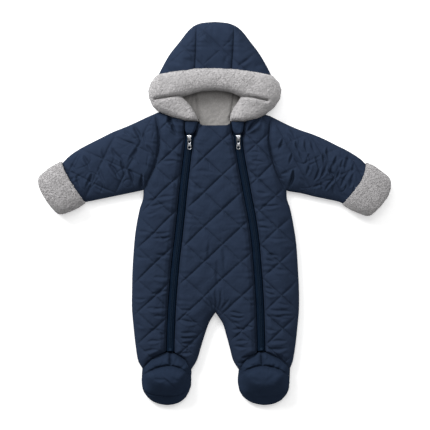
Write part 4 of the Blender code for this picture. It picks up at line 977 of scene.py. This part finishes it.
for side, sign in SIDES.items():
    edge_of_foot, toe = edge(FOOT_RIM, side), edge(TOE_SEAM, side)
    cap = edge(CAP_EDGE, side)
    start, cap_start, cap_end, end = (
        nearest(edge_of_foot, point) for point in (toe[0], cap[0], cap[-1], toe[-1]))
    outline = np.vstack([edge_of_foot[:cap_start], cap, edge_of_foot[cap_end + 1:]])
    apex = (zip_edge(side, 1)[-1] + zip_edge(side, -1)[-1]) / 2
    split = int(np.argmin(np.abs(toe[:, 0] - apex[0])))
    centre_seam = np.array([apex, toe[split]])
    face = partial(foot_face, outline=outline, seams=[toe[::2], centre_seam],
                   seed={"l": 120, "r": 140}[side])
    halves = {
        "outer": (np.vstack([apex, edge(GUSSET_OUT, side)[3:]]), toe[:split + 1][::-1],
                  edge_of_foot[:start + 1]),
        "inner": (np.vstack([apex, edge(GUSSET_IN, side)[3:]]), toe[split:],
                  edge_of_foot[end:][::-1]),
    }
    down = stations(34, 0.3)
    for half, (head, low, rim_part) in halves.items():
        plan = patch(head, low, along(centre_seam, down), along(rim_part, down),
                     stations(46, 0.3), down)
        folded = hem(face(plan), 4.0, 2.0)
        folded[:2, :, 2] -= 5.0 * ramp(away(folded[:2], [edge_of_foot]) / 8.0)
        gusset = cloth(f"ankle_gusset_{half}_{side}", [folded])
        dress(gusset, NAVY_PLAIN, "navy_plain", f"gusset_{half}_{side}")
    first, last = edge_of_foot[start:cap_start + 1], edge_of_foot[cap_end:end + 1][::-1]
    down = stations(60, 0.6)
    plan = patch(toe, cap, along(first, down), along(last, down), stations(110, 0.7), down)
    folded = hem(face(plan), 4.0, 2.5)
    shown = 1 - np.exp(-((folded[-2, :, 0] - CAP_MIDDLE[side]) / 25.0) ** 4)
    folded[-2, :, 2] += 3.4 * shown * ramp(away(folded[-2], [edge_of_foot]) / 9.0)
    toe_cap = cloth(f"toe_cap_padded_{side}", [folded])
    dress(toe_cap, NAVY_PLAIN, "navy_plain", f"toe_cap_{side}")

    # The sole: rows from its seam allowance, which lies against the inside of the cap and
    # the gussets, out over the lip, which shows in front of the cap, round and under
    inwards = np.array([3.0 * sign, 9.0])
    heel = np.linspace(edge_of_foot[-1] + inwards, edge_of_foot[0] + inwards * (-1, 1), 9)
    ring = curve(np.vstack([edge_of_foot[::6], edge_of_foot[-1:], heel, edge_of_foot[:1]]),
                 3.0)[:-1]
    spine = np.column_stack([np.full(len(ring), FOOT_MIDDLE * sign),
                             np.clip(ring[:, 1], -335, -330)])
    inward = spine - ring
    reach = np.linalg.norm(inward, axis=1)
    inward /= reach[:, None]
    ends = np.where(np.abs(ring[:, 0]) > FOOT_MIDDLE, cap[0, 1], cap[-1, 1])
    lip = away(ring, [cap]) * (ring[:, 1] < ends)
    held = 1 - ramp((away(ring, [edge_of_foot]) - 10.0) / 6.0)
    hidden = np.linspace(ALLOWANCE, 0.0, 5)[:, None]
    sewn = ring + inward * lip[:, None]
    seam_z = np.minimum(face(sewn)[:, 2] - 0.5, RIM_HIGH - 0.2 + turned_up(sewn[:, 1]))
    inside_z = SOLE_HIGH + (seam_z - SOLE_HIGH + 0.55 * hidden) * held
    share = np.linspace(1, 0, 8)[1:, None]
    lip_z = SOLE_HIGH + (inside_z[-1] - SOLE_HIGH) * share ** 0.9
    side_in = -0.4 + 0.24 * ripple(ring, 14.0, 9)[None]
    under_in = np.tile(np.transpose([UNDER_ROWS]), len(ring))
    under_z = 0.3 + 8.7 * (1 - dome(under_in / 18.0))
    inset = np.vstack([lip + hidden, lip * share, side_in, np.minimum(under_in, reach - 1)])
    level = np.vstack([inside_z, lip_z, np.full((1, len(ring)), 10.5), under_z])
    grid = raised(ring[None] + inward[None] * inset[..., None], level)
    core = np.broadcast_to(np.append(spine.mean(0), 0.3), grid[:1].shape)
    sole = cloth(f"foot_sole_{side}", [np.concatenate([grid, core])], round_u=True)
    dress(sole, NAVY_PLAIN, "navy_plain", f"sole_{side}")


# ---------------------------------------------------------------------------- zips
# A woven tape sewn in on both sides of a moulded coil, with a metal slider and pull at
# the top, a little cloth guard over the end, and a bar tack at the ankle.

GUARD_TOP, GUARD_FOOT = 183.0, 157.5
ZIP_FACE = 28.0          # the tape's height between the two panels
TOOTH_PITCH = 1.25
# Half the tape's section. Columns: distance from the zip's line, height over the tape
TAPE_HALF = (
    (0, 0.1), (0.25, 0.9), (2.6, 0.5), (3.3, 0), (6.0, 0), (7.2, -2.5), (8.4, -7.5),
    (9.8, -9.0),
)
TAPE = shell_cloth("zip tape", (0.0034, 0.0084, 0.0192), (0.0058, 0.0128, 0.0270), 0.8, 0.3)
COIL = bpy.data.materials.new("moulded zip coil")
node_tree(COIL, Base_Color=(0.0052, 0.0150, 0.0330, 1.0), Roughness=0.6,
          Specular_IOR_Level=0.12)


def tape_level(plan):
    """The tape's height: it comes down towards the ankle, with the front."""
    return RIM_HIGH + (ZIP_FACE - RIM_HIGH) * dome(away(plan, free_edges) / 46.0)


def tape_wave(plan):
    """The tape's slack."""
    return 0.35 * ripple(plan, 28.0, 160)


def bars(name, places, runs, half_along, half_across, high):
    """Many small moulded blocks on a surface, with slanted ends: each has a middle, a
    direction in plan and the same size."""
    ahead, beside = flat_axes(runs)
    corners = np.stack([places + ahead * (half_along * a * s) + beside * (half_across * b * s)
                        + UP * (high * (s < 1))
                        for s in (1.0, 0.7) for a, b in ((-1, -1), (1, -1), (1, 1), (-1, 1))], 1)
    shape = np.array([(3, 2, 1, 0), (4, 5, 6, 7), (0, 1, 5, 4), (1, 2, 6, 5), (2, 3, 7, 6),
                      (3, 0, 4, 7)])
    faces = (np.arange(len(places))[:, None, None] * 8 + shape).reshape(-1, 4)
    made = smooth_mesh(name, corners, faces)
    made.data.set_sharp_from_angle(angle=math.radians(40))
    return dress(made, COIL, "zip_navy")


for side, sign in SIDES.items():
    line = edge(ZIP_LINE, side, 2.0)
    below = line[:, 1] < GUARD_FOOT + 6
    run = unit(np.gradient(line, axis=0))
    across = sideways(run)
    offs, rise = np.transpose([(-off, z) for off, z in TAPE_HALF[:0:-1]] + [*TAPE_HALF])
    plan = line[below][:, None] + across[below][:, None] * offs[:, None]
    strip = cloth(f"zip_strip_{side}", [raised(plan, tape_level(plan) + rise + tape_wave(plan))])
    dress(strip, TAPE, "zip_navy", f"zip_tape_{side}")
    count = int(lengths(line[below])[-1] / TOOTH_PITCH)
    share = np.linspace(0.001, 0.985, count)
    spots = along(line[below], share)
    ways = unit(along(run[below], share))
    beside = sideways(ways)
    teeth, turned = [], []
    for which in (-1.0, 1.0):
        at = spots + ways * (0.31 * which) + beside * (1.45 * which)
        teeth.append(np.column_stack([at, tape_level(at) + tape_wave(at) + 0.7]))
        turned.append(ways * math.cos(0.22 * which) + beside * math.sin(0.22 * which))
    bars(f"zip_teeth_{side}", np.vstack(teeth), np.vstack(turned), 0.42, 1.55, 1.0)
    share = np.linspace(0.01, 0.99, count // 2)
    at = np.vstack([along(line[below] + across[below] * off, share) for off in (-4.6, 4.6)])
    ahead = np.vstack([along(run[below], share)] * 2)
    bars(f"zip_stitches_{side}", np.column_stack([at, tape_level(at) + 0.1]), ahead,
         0.85, 0.28, 0.35)
    stop = along(line, 0.992)
    bars(f"zip_end_tack_{side}", np.append(stop, tape_level(stop[None])[0])[None],
         run[-1:], 3.2, 3.6, 3.0)

    # The guard: a flap that narrows to a rounded lower end over the slider's nose
    v = np.linspace(0, 1, 48)[:, None]
    u = np.linspace(-1, 1, 41)[None]
    y = GUARD_TOP + (GUARD_FOOT - GUARD_TOP) * v
    centre_x = np.interp(-y, -line[:, 1], line[:, 0])
    # Half width: a slow taper, closing along a superellipse at the foot
    half = (12.6 - 3.2 * v) * (1 - np.clip((v - 0.5) / 0.5, 0, 1) ** 2.4) ** (1 / 2.2)
    plan = np.stack([centre_x + u * np.maximum(half, 0.2), y + 0 * u], -1)
    mound = dome((1 - np.abs(u)) * 1.8) * dome((1 - v) * 5.0) * np.ones_like(plan[..., 0])
    lip = 1.1 * np.exp(-(((1 - np.abs(u)) * half - 2.2) / 0.9) ** 2)
    z = 33.0 + 5.2 * mound - 0.8 * lip
    z = z + 0.4 * ripple(plan, 12.0, 170) + 0.12 * ripple(plan, 5.0, 171)
    guard = cloth(f"zip_top_guard_{side}", [hem(raised(plan, z), 5.0, 1.0)])
    dress(guard, NAVY_PLAIN, "navy_plain", f"zip_guard_{side}")


# --------------------------------------------------------------- sliders and pull tabs
# A die-cast zinc slider with an arched bail, and a flat pull tab whose eye hangs on it.
# Both are bright nickel-plated and tumbled, so that their edges are soft.

# Half outlines from head to tail. Columns: y from the hinge line, half width
SLIDER_OUTLINE = (
    (6.4, 1.4), (5.9, 3.4), (4.7, 5.0), (3.0, 5.2), (0.4, 4.0), (-2.4, 3.4), (-5.2, 3.5),
    (-6.2, 2.2),
)
PULL_OUTLINE = (
    (0.75, 2.4), (-1.6, 3.2), (-5.0, 3.5), (-9.0, 3.2), (-11.4, 3.0), (-14.0, 3.4),
    (-17.0, 3.9), (-20.5, 4.0), (-22.6, 3.2), (-23.3, 1.3),
)
PULL_NECK = -11.4
# A hole's middle along y, half length, half width and squareness
PULL_EYE, PULL_HOLE = (-5.6, 5.0, 2.1, 0.6), (-19.5, 2.5, 2.5, 1.0)
SLIDER_HIGH, PULL_THICK = 3.6, 1.5
tilt = math.radians(4.0)
DROOP = np.array([(1, 0, 0), (0, math.cos(tilt), math.sin(tilt)),
                  (0, -math.sin(tilt), math.cos(tilt))])
HINGE_OVER_BASE = 5.1    # from the slider's underside to the pull's hinge line
WHOLE_SIDE = {"l": "left", "r": "right"}

NICKEL = bpy.data.materials.new("bright nickel plating")
tree, shader = node_tree(NICKEL, Metallic=1.0, Base_Color=(0.44, 0.45, 0.47, 1.0))
wear = noise(tree, node(tree, "TexCoord")[1]["Object"], 900.0, 3.0)
_, rough = node(tree, "MapRange", ("To Min", 0.18), ("To Max", 0.36), ("Value", wear))
tree.links.new(rough["Result"], shader.inputs["Roughness"])
add_bump(tree, shader, wear, 0.15, 0.0002)


def hole_edge(outer, hole):
    """A hole's edge, one point in the direction of each point of an outline: an ellipse,
    squared off where the last number is below 1."""
    middle, long, wide, square = hole
    way = outer - (0, middle)
    turn = np.arctan2(way[:, 1] / long, way[:, 0] / wide)
    return np.stack([wide * power(np.cos(turn), square),
                     middle + long * power(np.sin(turn), square)], -1)


def plate(rings, edges, thick, soft):
    """A flat plate's two faces: straight lines from each inner edge to its outer one,
    level at half the thickness and rounded to nothing at the plate's edges."""
    share = stations(11, 1.0)[:, None, None]
    faces = []
    for outer, inner in rings:
        plan = inner + (outer - inner) * share
        z = thick / 2 * dome(away(plan, [closed(e) for e in edges]) / soft)
        faces += [raised(plan, z * sign) for sign in (1, -1)]
    return faces


def outline_of(table):
    """The right half of an outline from head to tail."""
    return curve(np.asarray(table)[:, ::-1], 0.5)


for side in SIDES:
    joint = next(j for j in frame["joints"] if j["name"] == f"pull_{WHOLE_SIDE[side]}_swing")
    hinge = np.array(joint["pos_m"]) / MM
    base = hinge - (0, 0, HINGE_OVER_BASE)

    right = outline_of(SLIDER_OUTLINE)
    ring = np.vstack([right, right[::-1] * (-1, 1)])
    faces = plate([(ring, np.zeros_like(ring))], [ring], SLIDER_HIGH, 2.6)
    # The bail: a wire on an arch along the zip, its feet sunk in the slider's face
    turn = np.linspace(0, math.pi, 29)[:, None]
    spin = np.linspace(0, 2 * math.pi, 16, endpoint=False)[None]
    wire = dome(np.minimum(turn, math.pi - turn) * 5.0)
    out = 3.6 + 0.65 * np.sin(spin) * wire
    bail = np.stack([0.8 * np.cos(spin) * wire, np.cos(turn) * out,
                     SLIDER_HIGH / 2 - 0.6 + np.sin(turn) * (out + 0.35)], -1)
    place = base + (0, 0, SLIDER_HIGH / 2)
    slider = cloth(f"zip_slider_body_{side}", [f + place for f in (*faces, bail)], round_u=True)
    dress(slider, NICKEL, "zip_metal", f"zip_slider_{side}")

    right = outline_of(PULL_OUTLINE)
    neck = int(np.argmin(np.abs(right[:, 1] - PULL_NECK)))
    left = right[::-1] * (-1, 1)
    cut = np.linspace(right[neck], right[neck] * (-1, 1), 9)[1:-1]
    head = np.linspace(left[-1], right[0], 8)[1:-1]
    foot = np.linspace(right[-1], left[0], 5)[1:-1]
    upper = np.vstack([right[:neck + 1], cut, left[-neck - 1:], head])
    lower = np.vstack([right[neck:], foot, left[:-neck], cut[::-1]])
    whole = np.vstack([right, foot, left, head])
    eye, hole = hole_edge(upper, PULL_EYE), hole_edge(lower, PULL_HOLE)
    faces = plate([(upper, eye), (lower, hole)], [whole, eye, hole], PULL_THICK, 1.5)
    pull = cloth(f"zip_pull_tab_{side}", [f @ DROOP + hinge for f in faces], round_u=True)
    dress(pull, NICKEL, "zip_metal", f"zip_pull_{side}", body=f"pull_{WHOLE_SIDE[side]}")


# ---------------------------------------------------------------------------- hood
# Three quilted pieces, a crown strip between two sides, over the layer behind. The two
# seams run from the brim to the back of the head.

HOOD_EDGE = (
    (0, 384, 0, 384), (30, 380.5, -32, 380.5), (51, 369, -51, 369),
    (71, 344, -71, 344), (89, 320, -90, 320), (103, 296, -104, 296),
    (114, 274, -114, 276),
)
HOOD_SIDE_FOOT = (
    (114, 274, -114, 276), (117, 250, -118, 250), (111, 222, -117, 226),
    (101, 199, -112, 204),
)
BRIM_UPPER = (
    (0, 288, 0, 288), (40, 286, -40, 287), (80, 281, -80, 282),
    (114, 274, -114, 276),
)
CROWN_SEAM = ((33, 288, -40, 288), (36, 330, -38, 330), (38, 377, -37, 378))
HOOD_HIGH = 44.5
HOOD_CREASES = (
    (49, 296, 70, 306, 2.2, 3.0), (-27, 353, 8, 318, -1.3, 1.7),
    (8, 318, 30, 297, -1.3, 1.7), (50, 347, 63, 349, -1.2, 3.5),
    (-54, 322, -41, 321, 1.3, 3.0), (-90, 305, -66, 296, 1.6, 4.0),
    (-30, 347, -21, 356, 1.6, 3.5), (-60, 345, -50, 352, 1.3, 3.5),
    (20, 300, 24, 312, 1.2, 3.5), (-22, 298, -26, 310, 1.2, 3.5),
    (84, 292, 96, 300, 1.6, 4.0), (-46, 300, -60, 306, 1.4, 3.5),
)
hood_line = np.vstack([edge(HOOD_EDGE, "r")[::-1], edge(HOOD_EDGE, "l")[1:]])
behind, other = [np.vstack([edge(HOOD_EDGE, s), edge(HOOD_SIDE_FOOT, s)[1:]]) for s in "lr"]
whole = {s: edge(HOOD_EDGE, s) for s in SIDES}
tops = {s: nearest(whole[s], edge(CROWN_SEAM, s)[-1]) for s in SIDES}
crown_seams = {s: np.vstack([edge(CROWN_SEAM, s)[:-1], whole[s][tops[s]]]) for s in SIDES}


def hood_face(plan, seed=180):
    """The hood's front: a dome from its edge, with its seams and stitch lines let in."""
    swell = dome(away(plan, [behind, other]) / 42.0)
    off = away(plan, [s[::3] for s in crown_seams.values()])
    sunk = 4.2 * np.exp(-off / 2.3) + 3.0 * (1 - ramp(off / 12.0))
    relief = quilting(plan, QUILTS["hood"], seed) * (0.3 + 0.7 * ramp(off / 8.0))
    relief = relief + creasing(plan, HOOD_CREASES)
    for seam in crown_seams.values():
        relief = relief + puckers(plan, seam[::3], 13.0, 0.9, 14.0, seed + 2)
    relief = relief + puckers(plan, hood_line[::3], 17.0, 1.0, 20.0, seed + 3)
    relief = relief - 0.7 * ripple(plan, 48.0, seed + 4) - 0.25 * ripple(plan, 17.0, seed + 5)
    return padded_face(plan, HOOD_HIGH, swell, sunk + relief)


under = {s: edge(BRIM_UPPER, s) - (0, 8) for s in SIDES}    # behind the brim
low = {s: nearest(edge(BRIM_UPPER, s), crown_seams[s][0]) for s in SIDES}
down = stations(86, 0.2)
chains = {s: np.vstack([under[s][low[s]], crown_seams[s][1:]]) for s in SIDES}
plan = patch(np.vstack([under["r"][:low["r"] + 1][::-1], under["l"][1:low["l"] + 1]]),
             np.vstack([whole["r"][:tops["r"] + 1][::-1], whole["l"][1:tops["l"] + 1]]),
             along(chains["r"], down), along(chains["l"], down), stations(64, 0.3), down)
crown = cloth("hood_crown_strip", [hem(hood_face(plan))])
dress(crown, NAVY, "navy_quilt", "hood_crown")
thread("hood_crown_stitches", hood_face, [plan], QUILTS["hood"], 180)
for side in SIDES:
    foot, head = under[side][low[side]:].copy(), whole[side][tops[side]:]
    chain = {"l": behind, "r": other}[side]
    foot[-1] = chain[nearest(chain, foot[-1])]
    corner = foot[-1] + (head[-1] - foot[-1]) * down[:, None]
    plan = patch(foot, head, along(chains[side], down), corner, stations(70, 0.2), down)
    cheek = cloth(f"hood_side_piece_{side}", [hem(hood_face(plan))])
    dress(cheek, NAVY, "navy_quilt", f"hood_side_{side}")
    thread(f"hood_side_stitches_{side}", hood_face, [plan], QUILTS["hood"], 180)

down = np.linspace(0, 1, 96)
left, right = along(behind, down), along(other, down)
across = stations(88)[None, :, None]
plan = (1 - across) * right[:, None] + across * left[:, None]
flat = back_face(plan, [behind, other], BACK_QUILT)
# Its edges are turned in and up, most under the brim, which they meet
turned = []
for rim_at, step_in in ((flat[:, :1], 1.0), (flat[:, -1:], -1.0)):
    under_brim = 0.4 + 0.6 * ramp((284.0 - rim_at[..., 1:2]) / 12.0)
    rows = [rim_at + under_brim * (step_in * run, 0, rise)
            for run, rise in ((1.2, 7.0), (4.0, 12.5))]
    turned.append(np.concatenate(rows[::-1] if step_in > 0 else rows, axis=1))
layer = cloth("hood_back_layer", [np.concatenate([turned[0], flat, turned[1]], axis=1)],
              faces_up=False)
dress(layer, NAVY, "navy_quilt", "hood_back")


# -------------------------------------------------------------------------- lining
# A short grey pile, in three pieces like the hood, as far as the mouth shows it.

LINING_SEAM = ((31, 188, -32, 189), (38, 240, -41, 243), (40, 264, -44, 264),
               (41, 276, -45, 276))
LINING = pile_cloth("short grey lining", (0.145, 0.140, 0.136), (0.30, 0.291, 0.283),
                    620.0, 0.0006)


def lining_face(plan):
    """The lining: nearly flat, let in at its seams, lower at the sides, and turned up
    inside at the forehead."""
    off = away(plan, [edge(LINING_SEAM, s, 9) for s in SIDES])
    z = 18.6 - 3.0 * np.exp(-(off / 2.2) ** 2) - 1.6 * (1 - ramp(off / 10.0))
    z = z - 2.0 * ramp((np.abs(plan[..., 0]) - 40.0) / 8.0)
    z = z + 0.9 * ripple(plan, 30.0, 190) + 0.4 * ripple(plan, 9.0, 191)
    return raised(plan, z + 13.5 * ramp((plan[..., 1] - 252.0) / 22.0))


down = stations(64, 0.2)
left, right = (along(edge(LINING_SEAM, s), down) for s in SIDES)
foot = np.array([(-32, 189), (-27, 170), (27, 170), (31, 188)])
plan = patch(foot, np.array([right[-1], left[-1]]), right, left, stations(48, 0.2), down)
middle_lining = cloth("hood_lining_centre", [lining_face(plan)])
dress(middle_lining, LINING, "lining_grey", "hood_lining_middle")
for side, sign in SIDES.items():
    outer = np.array([(sign * 74, 198), (sign * 92, 214), (sign * 92, 270)], float)
    seam = edge(LINING_SEAM, side)
    plan = patch(np.array([seam[0], outer[0]]), np.array([seam[-1], outer[-1]]),
                 along(seam, down), along(outer, down), stations(40, 0.1), down)
    flank = cloth(f"hood_lining_flank_{side}", [lining_face(plan)])
    dress(flank, LINING, "lining_grey", f"hood_lining_side_{side}")


# ---------------------------------------------------------------------------- brim
# A broad band of the cuffs' curly pile, turned back round the face and padded by its
# own fold. It is creased where it bends down to the chin on either side.

# Columns: outer edge x, y; inner edge x, y; round the face from the right tip
BRIM = (
    (-34, 183.5, -33, 187), (-60, 186, -40, 200), (-82, 192, -47, 212),
    (-112, 204, -57, 223), (-123, 214, -63, 229), (-130, 230, -66, 231),
    (-132, 244, -64, 233), (-127, 260, -57, 235), (-114, 276, -48, 238),
    (-80, 282, -40, 240.5), (-40, 287, -26, 244), (0, 288, 0, 246),
    (40, 286, 24, 243), (80, 281, 36, 240), (114, 274, 42, 237),
    (127, 260, 47, 235), (131, 246, 50, 233), (129, 230, 51, 231),
    (118, 213, 49, 228), (101, 199, 45, 221), (84, 190, 38, 211),
    (58, 184, 32, 199), (35, 183, 27, 186.5),
)
LIP_CREASE = ((46, 233, -58, 234), (72, 230.5, -84, 232), (103, 224, -118, 227))
count = 460
t = np.linspace(0, 1, count)
# Both edges run together through the table's rows, smoothed, in even steps
steps = np.linspace(0, len(BRIM) - 1, 40 * (len(BRIM) - 1) + 1)
fine = np.stack([np.interp(steps, np.arange(len(BRIM)), column) for column in zip(*BRIM)], -1)
for _ in range(30):
    fine[1:-1] = fine[1:-1] * 0.5 + (fine[:-2] + fine[2:]) * 0.25
rows = along(fine, t)
loop = 84
turn = np.linspace(0, 2 * math.pi, loop, endpoint=False)[None]
# Both tips close: the section shrinks to its middle over the last few rows
closing = dome(np.minimum(t, 1 - t) * 22.0)[:, None]
share = (1 - np.cos(turn)) / 2
mid = (rows[:, :2] + rows[:, 2:]) / 2
out_edge = mid + (rows[:, :2] - mid) * closing
in_edge = mid + (rows[:, 2:] - mid) * closing
plan = out_edge[:, None] + (in_edge - out_edge)[:, None] * share[..., None]
x, y = plan[..., 0], plan[..., 1]
# Height: the outer edge, the crest and the inner edge all rise from the chin to the brow
over = ramp((y - 188.0) / 58.0)
foot_z = 26.0 + 10.0 * over - 4.0 * ramp((np.abs(x) - 84.0) / 40.0)
crease_off = away(plan, [edge(LIP_CREASE, s, 9) for s in SIDES])
high = 48.5 + 9.0 * over - 13.0 * np.exp(-(crease_off / 2.7) ** 1.5)
low_z = 19.6 + 9.8 * ramp((y - 214.0) / 30.0) * (1 - ramp((np.abs(x) - 46.0) / 50.0))
edge_z = (foot_z + low_z) / 2
up = np.sin(turn)
z = np.where(up > 0, edge_z + (high - edge_z) * np.abs(up) ** 0.58 * closing,
             edge_z - (edge_z - low_z) * np.abs(up) ** 0.5 * closing)
z = z + 0.9 * ripple(plan, 34.0, 200) * (up > 0) * np.abs(up)
grid = raised(plan, z)
normal = normals_of(grid, True, False)
if normal[count // 2, loop // 4, 2] < 0:
    normal = -normal
pile = clumped(grid, normal, 6.0, 0.42, 201)
brim = cloth("pile_brim", [pile], round_u=True)
dress(brim, SHERPA, "sherpa_grey", "hood_brim")
curls("brim_curls", grid, normal, normal[..., 2] > -0.15, 6600, 202, lift=-0.1)


# ------------------------------------------------------------- floor, light and camera
# A white board that glows a little, as in a light tent, under one large soft light from
# beyond the hood and a weaker one over it. The camera looks straight down.

floor_mesh = bpy.data.meshes.new("floor")
floor_mesh.from_pydata([(-6, -6, 0), (6, -6, 0), (6, 6, 0), (-6, 6, 0)], [], [(0, 1, 2, 3)])
floor = placed("floor", floor_mesh)
WHITE = bpy.data.materials.new("white board")
node_tree(WHITE, Base_Color=(0.9, 0.9, 0.9, 1.0), Roughness=0.9, Specular_IOR_Level=0.1,
          Emission_Color=(1.0, 1.0, 1.0, 1.0), Emission_Strength=0.4)
floor_mesh.materials.append(WHITE)

world = bpy.data.worlds.new("studio")
world.use_nodes = True
sky = world.node_tree.nodes["Background"].inputs
sky["Color"].default_value = (1.0, 1.0, 1.0, 1.0)
sky["Strength"].default_value = 0.34
bpy.context.scene.world = world


def soft_light(name, place, aim, size, power):
    """A square area light that faces a point."""
    lamp = bpy.data.lights.new(name, "AREA")
    lamp.size, lamp.energy = size, power
    made = placed(name, lamp)
    way = unit(np.subtract(aim, place))
    made.location = place
    made.rotation_euler = (math.acos(-way[2]), 0.0, math.atan2(-way[0], way[1]))


soft_light("key light", (-1.6, 1.95, 1.75), (0, 0.05, 0), 1.35, 100.0)
soft_light("top light", (0.2, 0.78, 1.6), (0, 0.12, 0), 1.1, 14.0)

camera = bpy.data.cameras.new("camera")
camera.lens, camera.sensor_width = 100.0, 36.0
eye = placed("camera", camera)
eye.location = (0.0, -0.002, 2.402)
bpy.context.scene.camera = eye
bpy.context.scene.view_settings.view_transform = "Standard"
